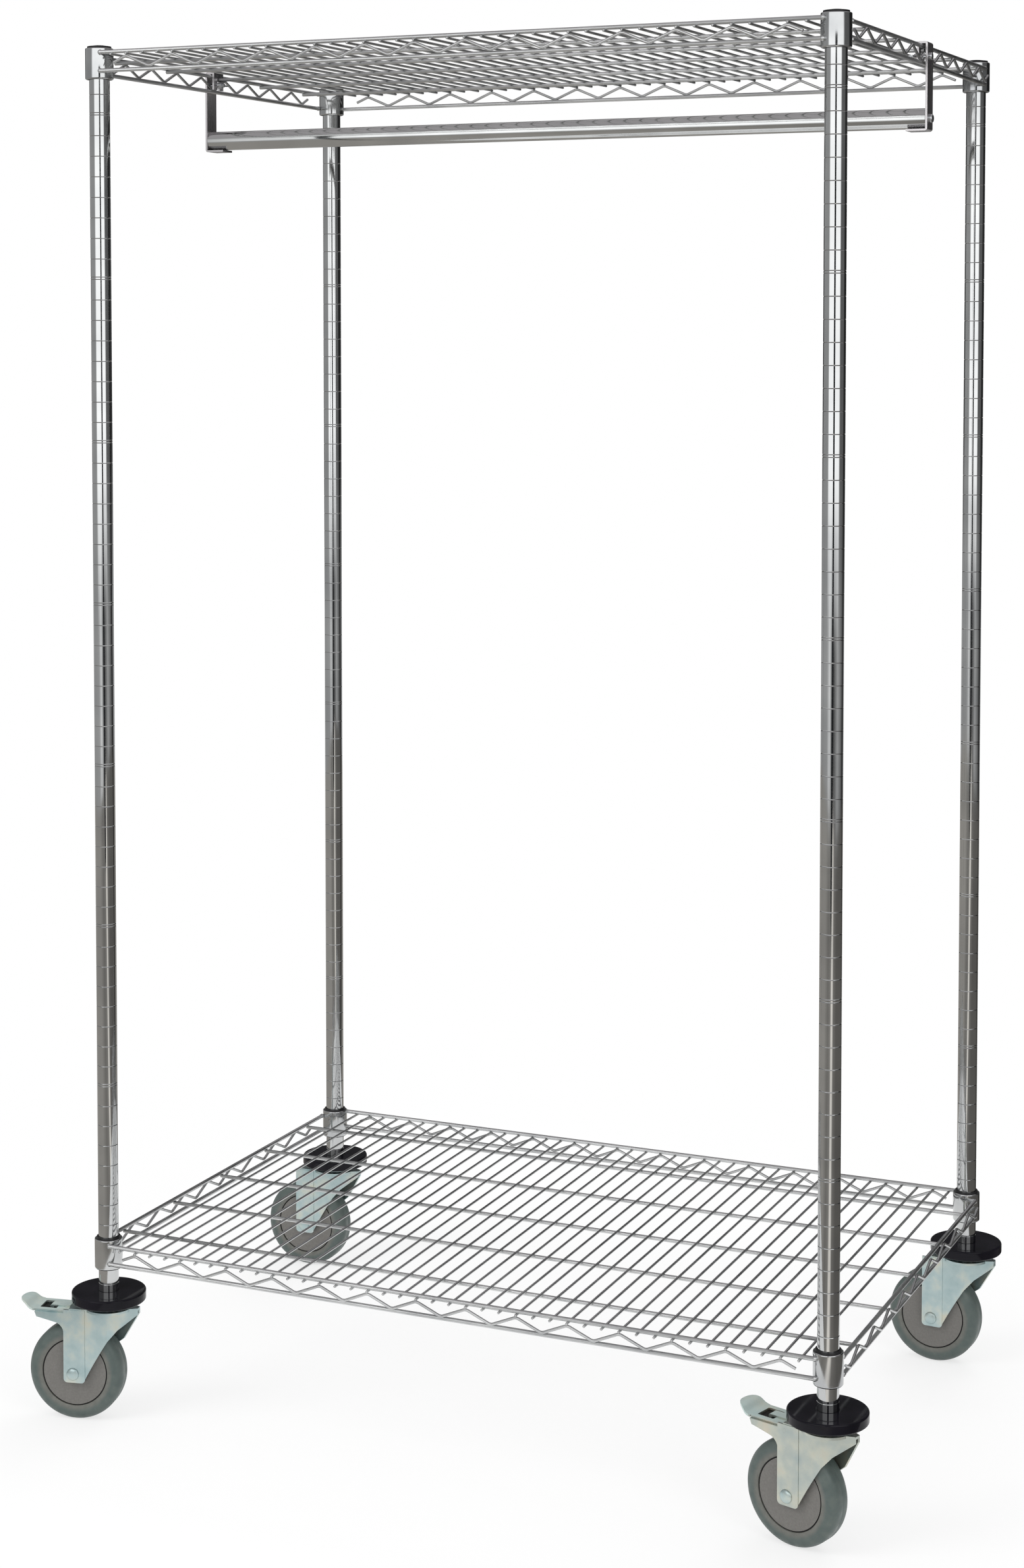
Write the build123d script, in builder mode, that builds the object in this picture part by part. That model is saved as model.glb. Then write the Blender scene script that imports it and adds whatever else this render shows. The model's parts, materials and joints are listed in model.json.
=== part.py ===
from build123d import *
from math import atan, cos, degrees, radians, sin, sqrt
import os

# Rolling wire garment rack: four ringed posts, two wire shelves, a hanging bar and four casters.
# Millimetres. The origin is on the floor, midway between the four posts. +X is the rack's right,
# +Y its back, +Z up.

os.makedirs("parts", exist_ok=True)

# ---- posts ----
post_spacing_x = 950.0
post_spacing_y = 620.0
post_diameter = 25.4
post_wall = 1.2
post_length = 1566.5
ring_pitch = 25.4
ring_depth = 0.5
ring_width = 1.8
first_ring = 22.4
cap_flange = 0.9
cap_dome = 2.2
cap_edge_inset = 0.6
cap_crown_radius = 7.0
cap_plug_length = 14.0

# ---- shelves ----
lower_shelf_ring = 1
rings_above_upper_shelf = 0
collar_diameter = 35.0
collar_height = 38.5
collar_edge_radius = 1.8
sleeve_top_wall = 2.3
sleeve_bottom_wall = 2.9
sleeve_show = 2.5
sleeve_slit = 1.2
sleeve_rib_width = 1.2
frame_wire = 5.2
deck_wire = 3.2
snake_wire = 3.6
support_wire = 4.8
truss_height = 22.8
bottom_wire_rise = 9.7
weld_ball = 6.4
front_wire_inset = 10.8
side_wire_inset = 14.2
weld_sink = 0.8
ball_sink = 0.5
snake_setback = 3.3
front_peaks = 14
front_snake_margin = 50.3
side_snake_pitch = 63.0
left_side_peaks = 8
right_side_peaks = 9
snake_bend_radius = 4.0
stub_share = 0.55
deck_wires_per_peak = 3
deck_wire_overhang = 1.6
support_count = 5
support_spacing = 125.0

# ---- hanging bar ----
bar_diameter = 25.0
bar_wall = 1.2
bar_drop = 56.0
strap_width = 25.0
strap_thickness = 2.6
strap_lip_length = 24.0
strap_bend_radius = 3.3
hook_leg_drop = 20.5
clamp_bolt_drop = 14.2
clamp_bolt_diameter = 5.0
bolt_head_radius = 4.6
bolt_head_height = 2.8
bolt_head_round = 1.7
clamp_bolt_show = 3.0
wing_hub_radius = 4.3
wing_hub_length = 6.0
wing_hub_taper = 6.0
wing_span = 25.0
wing_thickness = 1.8
wing_foot = 3.0
wing_shoulder = 5.0
wing_tip = 10.0
bar_screw_diameter = 5.0
bar_screw_head_radius = 5.5
bar_screw_head_height = 4.0
bar_screw_head_round = 2.4
bar_screw_bite = 14.4
bar_plug_length = 18.0

# ---- casters ----
wheel_diameter = 124.0
tyre_width = 34.0
tyre_shoulder = 11.0
tyre_face_fall = 1.0
hub_diameter = 86.0
hub_width = 31.0
hub_recess = 1.0
hub_rim_width = 2.5
hub_rim_slope = 1.5
trail = 41.0
leg_half_width = 14.2
leg_emboss = 0.8
leg_lead = 2.0
leg_corner_radius = 5.0
leg_below_axle = 11.0
fork_half_width = 22.0
fork_thickness = 2.6
nose_reach = 40.0
nose_half_width = 4.0
nose_depth = 5.0
flange_kink_reach = 4.0
flange_kink_half_width = 20.0
flange_knee_reach = 16.0
flange_waist_back = 2.0
# Heights of the flanges' lower edges at knee, kink and waist: by the axle's head, then on the deeper side.
flange_heights = {1: (119.5, 105.5, 96.0), -1: (100.0, 90.0, 84.0)}
crown_underside = 143.0
crown_thickness = 3.0
crown_disc_radius = 31.0
race_gap = 3.5
ball_diameter = 5.0
ball_circle_radius = 20.0
ball_count = 14
race_radius = 27.0
race_thickness = 4.4
race_skirt = 2.2
race_wall = 2.0
race_edge_radius = 1.2
bumper_diameter = 94.0
bumper_thickness = 13.0
bumper_edge_radius = 2.2
axle_diameter = 10.0
axle_head_radius = 8.0
axle_head_height = 3.0
axle_head_round = 2.7
nut_across_flats = 16.0
nut_height = 7.0
thread_show = 1.5
bush_wall = 3.0
bush_flange_radius = 11.0
bush_flange_slope = 1.5
bush_inner_end = 1.0
stem_diameter = 11.0
stem_head_radius = 11.0
stem_head_height = 3.4
stem_head_chamfer = 1.0
stem_tip_chamfer = 1.5
stem_rise = 42.0
socket_length = 34.0

# ---- brake pedals, on the two front casters ----
skirt_reach = 92.0
skirt_fall = 3.5
skirt_end_depth = 6.5
skirt_end_slant = 2.5
# The skirt's lower edge, as (behind the leg's back edge, above the axle), down to where it meets the leg.
skirt_curve = ((14.0, 66.0), (6.0, 63.0), (1.4, 57.5), (0.0, 49.0))
pedal_thickness = 2.2
pedal_width = 38.2
pedal_overhang = 2.0
pad_width = 41.0
pad_rise = 9.0
pad_length = 22.0
pad_edge = 0.6
pad_bulge_reach = 0.55
pad_bulge_rise = 0.72
pad_tip_slope = 0.2
pivot_reach = 44.0
pivot_drop = 5.6
pivot_diameter = 5.0
pivot_knuckle_radius = 4.3
flange_depth = 8.0
window_start = 66.0
window_end = 88.0
window_width = 24.0
window_corner = 1.5
tongue_start = 50.0
tongue_end = 74.0
tongue_width = 13.0
tongue_rise = 2.0
tongue_curl = 2.4
pedal_press = 7.0
shoe_front = 53.0
shoe_back = 60.0
shoe_width = 26.0

# ---- clearances ----
tight_gap = 0.05
running_gap = 0.05
seat_gap = 0.1
side_gap = 0.3
open_gap = 0.5

# ---- derived places ----
wheel_radius = wheel_diameter / 2
post_radius = post_diameter / 2
collar_radius = collar_diameter / 2
crown_top = crown_underside + crown_thickness
race_underside = crown_top + race_gap
race_top = race_underside + race_thickness
bumper_underside = race_top + tight_gap
post_foot = bumper_underside + bumper_thickness + tight_gap
post_top = post_foot + post_length
half_x = post_spacing_x / 2
half_y = post_spacing_y / 2
bush_radius = axle_diameter / 2 + bush_wall
leg_face = fork_half_width + leg_emboss
bush_end = leg_face - fork_thickness - side_gap

last_ring = int((post_length - first_ring) // ring_pitch)
upper_shelf_ring = last_ring - rings_above_upper_shelf
ball_reach = collar_radius + weld_ball / 2 - ball_sink
truss_x = half_x + sqrt(ball_reach**2 - side_wire_inset**2)
truss_y = half_y + sqrt(ball_reach**2 - front_wire_inset**2)
deck_fall = (frame_wire + deck_wire) / 2 - weld_sink
support_fall = deck_fall + (deck_wire + support_wire) / 2 - weld_sink
side_wire_fall = support_fall - (support_wire + frame_wire) / 2 + weld_sink
front_peak_fall = deck_fall + (deck_wire + snake_wire) / 2 - weld_sink
snake_rise = sqrt(((frame_wire + snake_wire) / 2 + tight_gap) ** 2 - snake_setback**2)
side_peak_fall = side_wire_fall + snake_rise
valley_fall = truss_height - snake_rise
front_snake_pitch = (post_spacing_x - 2 * front_snake_margin) / (front_peaks - 1)
deck_spacing = front_snake_pitch / deck_wires_per_peak
deck_wire_count = (front_peaks - 1) * deck_wires_per_peak + 3

corners = {
    "front_left": (-half_x, -half_y),
    "front_right": (half_x, -half_y),
    "rear_left": (-half_x, half_y),
    "rear_right": (half_x, half_y),
}
# The way each wheel trails, in degrees from -X towards +Y.
headings = {"front_left": -12.5, "front_right": 16.0, "rear_left": -2.0, "rear_right": 4.0}
braked = ("front_left", "front_right")
shelf_rings = {"lower": lower_shelf_ring, "upper": upper_shelf_ring}


def write(piece, name):
    """Label a finished piece and write its STEP file."""
    piece.part.label = name
    export_step(piece.part, f"parts/{name}.step")


def ring_height(index):
    """Height of a post's numbered ring groove above the floor."""
    return post_foot + first_ring + index * ring_pitch


def shelf_base(shelf):
    """Height of a shelf's collar rims: each collar is centred on its ring groove."""
    return ring_height(shelf_rings[shelf]) - collar_height / 2


def top_wire_height(shelf):
    """Height of a shelf's front and rear top wires."""
    return shelf_base(shelf) + bottom_wire_rise + truss_height


def corner_planes(height):
    """One level plane on each post's axis."""
    return [Plane.XY.offset(height).move(Location((x, y, 0))) for x, y in corners.values()]


bar_height = shelf_base("upper") - bar_drop
hook_top = top_wire_height("upper") - side_wire_fall + frame_wire / 2 + side_gap + strap_thickness
clamp_height = top_wire_height("upper") - clamp_bolt_drop
strap_inner_face = truss_x + snake_setback + snake_wire / 2 + side_gap
strap_outer_face = strap_inner_face + strap_thickness
hook_leg_face = truss_x - frame_wire / 2 - side_gap
bar_half_length = strap_inner_face - seat_gap


# ---- posts and their fittings ----


def make_post(x, y):
    """A steel tube with a V groove rolled into it every inch."""
    inner = post_radius - post_wall
    outline = [(inner, 0), (post_radius, 0)]
    for index in range(last_ring + 1):
        middle = first_ring + index * ring_pitch
        outline += [
            (post_radius, middle - ring_width / 2),
            (post_radius - ring_depth, middle),
            (post_radius, middle + ring_width / 2),
        ]
    outline += [(post_radius, post_length), (inner, post_length)]
    foot = Plane(origin=(x, y, post_foot), x_dir=(1, 0, 0), z_dir=(0, -1, 0))
    with BuildPart() as post:
        with BuildSketch(foot):
            with BuildLine():
                Polyline(*outline, close=True)
            make_face()
        revolve(axis=Axis((x, y, 0), (0, 0, 1)))
    return post


def make_post_caps():
    """Domed plastic caps, one plugged into the top of each post."""
    plug_radius = post_radius - post_wall - tight_gap
    with BuildPart(*corner_planes(post_top + tight_gap)) as caps:
        Cylinder(post_radius, cap_flange, align=(Align.CENTER, Align.CENTER, Align.MIN))
        with Locations((0, 0, cap_flange)):
            Cone(
                post_radius - cap_edge_inset,
                cap_crown_radius,
                cap_dome,
                align=(Align.CENTER, Align.CENTER, Align.MIN),
            )
        with Locations((0, 0, -cap_plug_length)):
            Cylinder(plug_radius, cap_plug_length, align=(Align.CENTER, Align.CENTER, Align.MIN))
    return caps


def make_sockets():
    """Plastic plugs in the feet of the posts that grip the caster stems."""
    with BuildPart(*corner_planes(post_foot + seat_gap)) as sockets:
        Cylinder(
            post_radius - post_wall - tight_gap, socket_length, align=(Align.CENTER, Align.CENTER, Align.MIN)
        )
        Cylinder(stem_diameter / 2 + tight_gap, 3 * socket_length, mode=Mode.SUBTRACT)
    return sockets


# ---- shelves ----


def sleeve_radius(rise):
    """Outer radius of the tapered sleeve at a height above the shelf's collar rims."""
    share = rise / (collar_height + sleeve_show)
    return post_radius + sleeve_bottom_wall + (sleeve_top_wall - sleeve_bottom_wall) * share


def make_collars(shelf):
    """Tapered rings at the shelf's four corners."""
    bottom_bore = sleeve_radius(0) + tight_gap
    top_bore = sleeve_radius(collar_height) + tight_gap
    with BuildPart() as collars:
        for x, y in corners.values():
            section = Plane(origin=(x, y, shelf_base(shelf)), x_dir=(1, 0, 0), z_dir=(0, -1, 0))
            with BuildSketch(section):
                with BuildLine():
                    Polyline(
                        (bottom_bore, 0),
                        (collar_radius, 0),
                        (collar_radius, collar_height),
                        (top_bore, collar_height),
                        close=True,
                    )
                make_face()
            revolve(axis=Axis((x, y, 0), (0, 0, 1)))
        rims = collars.edges().filter_by(GeomType.CIRCLE)
        outer = rims.filter_by(lambda rim: abs(rim.radius - collar_radius) < tight_gap)
        fillet(outer, collar_edge_radius)
    return collars


def make_sleeves(shelf):
    """Split plastic sleeves between the posts and the collars, each half ribbed to fit one ring groove."""
    height = collar_height + sleeve_show
    bore = post_radius + tight_gap
    rib_middle = collar_height / 2
    quarter = 90 - degrees(atan(sleeve_slit / post_diameter))
    outline = [
        (bore, 0),
        (sleeve_radius(0), 0),
        (sleeve_radius(height), height),
        (bore, height),
        (bore, rib_middle + sleeve_rib_width / 2),
        (bore - ring_depth, rib_middle),
        (bore, rib_middle - sleeve_rib_width / 2),
    ]
    with BuildPart() as sleeves:
        for x, y in corners.values():
            for side in (-1, 1):
                section = Plane(origin=(x, y, shelf_base(shelf)), x_dir=(side, 0, 0), z_dir=(0, -side, 0))
                with BuildSketch(section) as wall:
                    with BuildLine():
                        Polyline(*outline, close=True)
                    make_face()
                for turn in (-1, 1):
                    upward = Axis((x, y, 0), (0, 0, turn))
                    revolve(wall.sketch, axis=upward, revolution_arc=quarter)
    return sleeves


def zigzag(peaks, pitch, peak_height, valley_height, edge_valleys):
    """Points of a snake wire: (distance along the truss, height), from end to end."""
    points = []
    first = -(peaks - 1) / 2 * pitch
    for index in range(peaks):
        middle = first + index * pitch
        points.append((middle, peak_height))
        points.append((middle + pitch / 2, valley_height))
    points.pop()
    drop = peak_height - valley_height
    reach = stub_share * pitch / 2
    if edge_valleys:
        last = -first + pitch / 2
        points = [(-last, valley_height)] + points + [(last, valley_height)]
        end_height = valley_height + stub_share * drop
    else:
        last = -first
        end_height = peak_height - stub_share * drop
    return [(-last - reach, end_height)] + points + [(last + reach, end_height)]


def make_truss(middle, along, outward, wires, half_length, snake, snake_side):
    """Top wire, bottom wire and snake wire in one upright plane, with weld balls on the wire ends."""
    upright = Plane(origin=middle, x_dir=along, z_dir=outward)
    ball = weld_ball / 2
    neck = half_length - sqrt(ball**2 - (frame_wire / 2) ** 2)
    with BuildPart() as truss:
        for height in wires:
            wire_middle = upright.from_local_coords(Vector(0, height, 0))
            with BuildSketch(Plane(origin=wire_middle, x_dir=along, z_dir=outward)):
                with BuildLine():
                    ThreePointArc((-half_length - ball, 0), (-half_length, ball), (-neck, frame_wire / 2))
                    Line((-neck, frame_wire / 2), (neck, frame_wire / 2))
                    ThreePointArc((neck, frame_wire / 2), (half_length, ball), (half_length + ball, 0))
                    Line((half_length + ball, 0), (-half_length - ball, 0))
                make_face()
            revolve(axis=Axis(wire_middle, along))
        with BuildLine(upright.offset(snake_side * snake_setback)) as path:
            FilletPolyline(*snake, radius=snake_bend_radius)
        with BuildSketch(Plane(origin=path.line @ 0, z_dir=path.line % 0)):
            Circle(snake_wire / 2)
        sweep(path=path.line)
    return truss


def make_front_or_rear_truss(shelf, side):
    """side is -1 at the front and 1 at the back."""
    top = top_wire_height(shelf)
    snake = zigzag(front_peaks, front_snake_pitch, -front_peak_fall, -valley_fall, False)
    return make_truss(
        (0, side * truss_y, top),
        (1, 0, 0),
        (0, -1, 0),
        (0, -truss_height),
        half_x - front_wire_inset,
        snake,
        side,
    )


def make_side_truss(shelf, side):
    """side is -1 at the left and 1 at the right, whose snake wire is half a pitch out of step."""
    top = top_wire_height(shelf)
    peaks = left_side_peaks if side < 0 else right_side_peaks
    snake = zigzag(peaks, side_snake_pitch, -side_peak_fall, -valley_fall, True)
    return make_truss(
        (side * truss_x, 0, top),
        (0, 1, 0),
        (1, 0, 0),
        (-side_wire_fall, -truss_height),
        half_y - side_wire_inset,
        snake,
        side,
    )


def make_deck_wires(shelf):
    """The deck: thin wires from front to back, welded under the top wires of both long trusses."""
    height = top_wire_height(shelf) - deck_fall
    reach = truss_y + frame_wire / 2 + deck_wire_overhang
    with BuildPart() as deck:
        with BuildSketch(Plane(origin=(0, -reach, height), z_dir=(0, 1, 0), x_dir=(1, 0, 0))):
            with GridLocations(deck_spacing, 1, deck_wire_count, 1):
                Circle(deck_wire / 2)
        extrude(amount=2 * reach)
    return deck


def make_support_wires(shelf):
    """Stiffening wires across the underside of the deck, welded under the side trusses' top wires."""
    height = top_wire_height(shelf) - support_fall
    reach = truss_x + weld_sink
    with BuildPart() as supports:
        with BuildSketch(Plane(origin=(-reach, 0, height), z_dir=(1, 0, 0), x_dir=(0, 1, 0))):
            with GridLocations(support_spacing, 1, support_count, 1):
                Circle(support_wire / 2)
        extrude(amount=2 * reach)
    return supports


# ---- hanging bar and its straps ----


def make_hanging_bar():
    """Chromed tube between the two straps."""
    with BuildPart() as bar:
        with BuildSketch(Plane(origin=(-bar_half_length, 0, bar_height), z_dir=(1, 0, 0))):
            Circle(bar_diameter / 2)
            Circle(bar_diameter / 2 - bar_wall, mode=Mode.SUBTRACT)
        extrude(amount=2 * bar_half_length)
    return bar


def make_strap(side):
    """Flat strap that hooks over the side truss and turns in under the bar's end."""
    foot_top = bar_height - bar_diameter / 2 - seat_gap
    leg_bottom = top_wire_height("upper") - hook_leg_drop
    leg_back = hook_leg_face - strap_thickness
    lip_end = strap_inner_face - strap_lip_length
    outline = [
        (leg_back, leg_bottom),
        (leg_back, hook_top),
        (strap_outer_face, hook_top),
        (strap_outer_face, foot_top - strap_thickness),
        (lip_end, foot_top - strap_thickness),
        (lip_end, foot_top),
        (strap_inner_face, foot_top),
        (strap_inner_face, hook_top - strap_thickness),
        (hook_leg_face, hook_top - strap_thickness),
        (hook_leg_face, leg_bottom),
    ]
    support_height = top_wire_height("upper") - support_fall
    slot_top = support_height + support_wire / 2 + side_gap
    slot_width = max(support_wire, clamp_bolt_diameter) + 2 * side_gap
    bar_hole = bar_screw_diameter / 2 + seat_gap
    clamp_hole = clamp_bolt_diameter / 2 + seat_gap
    with BuildPart() as strap:
        with BuildSketch(Plane(origin=(0, 0, 0), x_dir=(side, 0, 0), z_dir=(0, -side, 0))):
            with BuildLine():
                Polyline(*outline, close=True)
            make_face()
        extrude(amount=strap_width / 2, both=True)
        across = strap.edges().filter_by(Axis.Y)
        bends = across.filter_by(lambda edge: abs(edge.center().X * side - strap_outer_face) < tight_gap)
        fillet(bends, strap_bend_radius)
        outer = Plane(origin=(side * strap_outer_face, 0, 0), z_dir=(side, 0, 0), x_dir=(0, 1, 0))
        with BuildSketch(outer):
            with Locations((0, side * bar_height)):
                Circle(bar_hole)
            with Locations((0, side * clamp_height)):
                Circle(clamp_hole)
        extrude(amount=-1.5 * strap_thickness, mode=Mode.SUBTRACT)
        inner = Plane(origin=(side * leg_back, 0, 0), z_dir=(side, 0, 0), x_dir=(0, 1, 0))
        with BuildSketch(inner):
            with Locations((0, side * (slot_top + leg_bottom) / 2)):
                Rectangle(slot_width, slot_top - leg_bottom)
        extrude(amount=strap_thickness, mode=Mode.SUBTRACT)
    return strap


def make_bar_plugs():
    """Plastic plugs in the bar's ends, bored for the screws."""
    with BuildPart() as plugs:
        for side in (-1, 1):
            with BuildSketch(Plane(origin=(side * bar_half_length, 0, bar_height), z_dir=(-side, 0, 0))):
                Circle(bar_diameter / 2 - bar_wall - tight_gap)
                Circle(bar_screw_diameter / 2 + tight_gap, mode=Mode.SUBTRACT)
            extrude(amount=bar_plug_length)
    return plugs


def make_bar_screws():
    """Pan-head screws through the straps into the bar's plugs."""
    with BuildPart() as screws:
        for side in (-1, 1):
            head = Plane(origin=(side * (strap_outer_face + seat_gap), 0, bar_height), z_dir=(side, 0, 0))
            with BuildSketch(head):
                Circle(bar_screw_head_radius)
            extrude(amount=bar_screw_head_height)
            fillet(screws.faces().sort_by(Axis.X)[-1 if side > 0 else 0].edges(), bar_screw_head_round)
            with BuildSketch(head):
                Circle(bar_screw_diameter / 2)
            extrude(amount=-(strap_thickness + bar_screw_bite))
    return screws


def make_clamp_bolts():
    """Bolts that close each hooked strap round its truss."""
    length = strap_outer_face - hook_leg_face + strap_thickness + wing_hub_length + clamp_bolt_show
    with BuildPart() as bolts:
        for side in (-1, 1):
            head = Plane(origin=(side * (strap_outer_face + seat_gap), 0, clamp_height), z_dir=(side, 0, 0))
            with BuildSketch(head):
                Circle(bolt_head_radius)
            extrude(amount=bolt_head_height)
            fillet(bolts.faces().sort_by(Axis.X)[-1 if side > 0 else 0].edges(), bolt_head_round)
            with BuildSketch(head):
                Circle(clamp_bolt_diameter / 2)
            extrude(amount=-length)
    return bolts


def make_wing_nuts():
    """Wing nuts on the inner ends of the clamp bolts."""
    with BuildPart() as nuts:
        for side in (-1, 1):
            seat = side * (hook_leg_face - strap_thickness - seat_gap)
            base = Plane(origin=(seat, 0, clamp_height), z_dir=(-side, 0, 0), x_dir=(0, 1, 0))
            with BuildSketch(base):
                Circle(wing_hub_radius)
            extrude(amount=wing_hub_length, taper=wing_hub_taper)
            wing = Plane(origin=(seat, 0, clamp_height), x_dir=(0, 1, 0), z_dir=(0, 0, 1))
            with BuildSketch(wing):
                with BuildLine():
                    Polyline(
                        (-wing_foot, 0),
                        (-wing_span / 2, side * wing_shoulder),
                        (-wing_span / 2, side * wing_tip),
                        (0, side * wing_shoulder),
                        (wing_span / 2, side * wing_tip),
                        (wing_span / 2, side * wing_shoulder),
                        (wing_foot, 0),
                        close=True,
                    )
                make_face()
            extrude(amount=wing_thickness / 2, both=True)
            with BuildSketch(base):
                Circle(clamp_bolt_diameter / 2 + tight_gap)
            extrude(amount=wing_tip, mode=Mode.SUBTRACT)
    return nuts


# ---- casters ----


def caster_plane(corner):
    """A plane on the floor under a post: its X runs the way the wheel trails."""
    x, y = corners[corner]
    heading = radians(headings[corner])
    return Plane(origin=(x, y, 0), x_dir=(-cos(heading), sin(heading), 0), z_dir=(0, 0, 1))


def side_plane(corner, offset=0.0):
    """The wheel's upright plane: X runs the way it trails, Y runs up, moved towards its axle's head."""
    base = caster_plane(corner)
    origin = base.from_local_coords(Vector(0, offset, 0))
    return Plane(origin=origin, x_dir=base.x_dir, z_dir=-base.y_dir)


def make_stems():
    """Caster stems: a head under each swivel and a pin up through the bumper into the post."""
    top = post_foot + stem_rise
    with BuildPart() as stems:
        for x, y in corners.values():
            with BuildSketch(Plane.XY.offset(crown_underside - seat_gap - stem_head_height)):
                with Locations((x, y)):
                    Circle(stem_head_radius)
            extrude(amount=stem_head_height)
            with BuildSketch(Plane.XY.offset(crown_underside - stem_head_height)):
                with Locations((x, y)):
                    Circle(stem_diameter / 2)
            extrude(amount=top - crown_underside + stem_head_height)
        chamfer(stems.faces().filter_by(Axis.Z).group_by(Axis.Z)[-1].edges(), stem_tip_chamfer)
        chamfer(stems.faces().filter_by(Axis.Z).group_by(Axis.Z)[0].edges(), stem_head_chamfer)
    return stems


def ring_race(x, y):
    """Cut the ball groove of one swivel from the part being built."""
    middle = Plane(origin=(x, y, (crown_top + race_underside) / 2), x_dir=(1, 0, 0), z_dir=(0, -1, 0))
    with BuildSketch(middle) as groove:
        with Locations((ball_circle_radius, 0)):
            Circle(ball_diameter / 2 + running_gap)
    revolve(groove.sketch, axis=Axis((x, y, 0), (0, 0, 1)), mode=Mode.SUBTRACT)


def make_races():
    """Upper race cups, held between the stems' bumpers and the balls."""
    with BuildPart() as races:
        for x, y in corners.values():
            with BuildSketch(Plane.XY.offset(race_underside)):
                with Locations((x, y)):
                    Circle(race_radius)
                    Circle(stem_diameter / 2 + tight_gap, mode=Mode.SUBTRACT)
            extrude(amount=race_top - race_underside)
            with BuildSketch(Plane.XY.offset(race_underside - race_skirt)):
                with Locations((x, y)):
                    Circle(race_radius)
                    Circle(race_radius - race_wall, mode=Mode.SUBTRACT)
            extrude(amount=race_skirt)
            ring_race(x, y)
        top_edges = races.edges().filter_by(GeomType.CIRCLE).group_by(Axis.Z)[-1]
        fillet(top_edges.filter_by(lambda edge: edge.radius > stem_diameter), race_edge_radius)
    return races


def make_bumpers():
    """Round rubber bumpers between the race cups and the posts."""
    with BuildPart() as bumpers:
        for x, y in corners.values():
            with BuildSketch(Plane.XY.offset(bumper_underside)):
                with Locations((x, y)):
                    Circle(bumper_diameter / 2)
                    Circle(stem_diameter / 2 + tight_gap, mode=Mode.SUBTRACT)
            extrude(amount=bumper_thickness)
        rims = bumpers.edges().filter_by(GeomType.CIRCLE)
        fillet(rims.filter_by(lambda rim: rim.radius > bumper_diameter / 4), bumper_edge_radius)
    return bumpers


def make_balls(corner):
    """The swivel's ring of bearing balls."""
    middle = caster_plane(corner).offset((crown_top + race_underside) / 2)
    with BuildPart(middle) as balls:
        with PolarLocations(ball_circle_radius, ball_count):
            Sphere(ball_diameter / 2)
    return balls


def pivot_place():
    """Brake pivot: distance behind the post's axis and height."""
    return pivot_reach, crown_underside - pivot_drop


def turned_plane(face, start, turn):
    """An upright plane that leaves a face at a distance behind the post's axis, turned by an angle."""
    return Plane(
        origin=face.from_local_coords(Vector(start, 0, 0)),
        x_dir=face.x_dir.rotate(Axis.Z, turn),
        z_dir=face.z_dir.rotate(Axis.Z, turn),
    )


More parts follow.
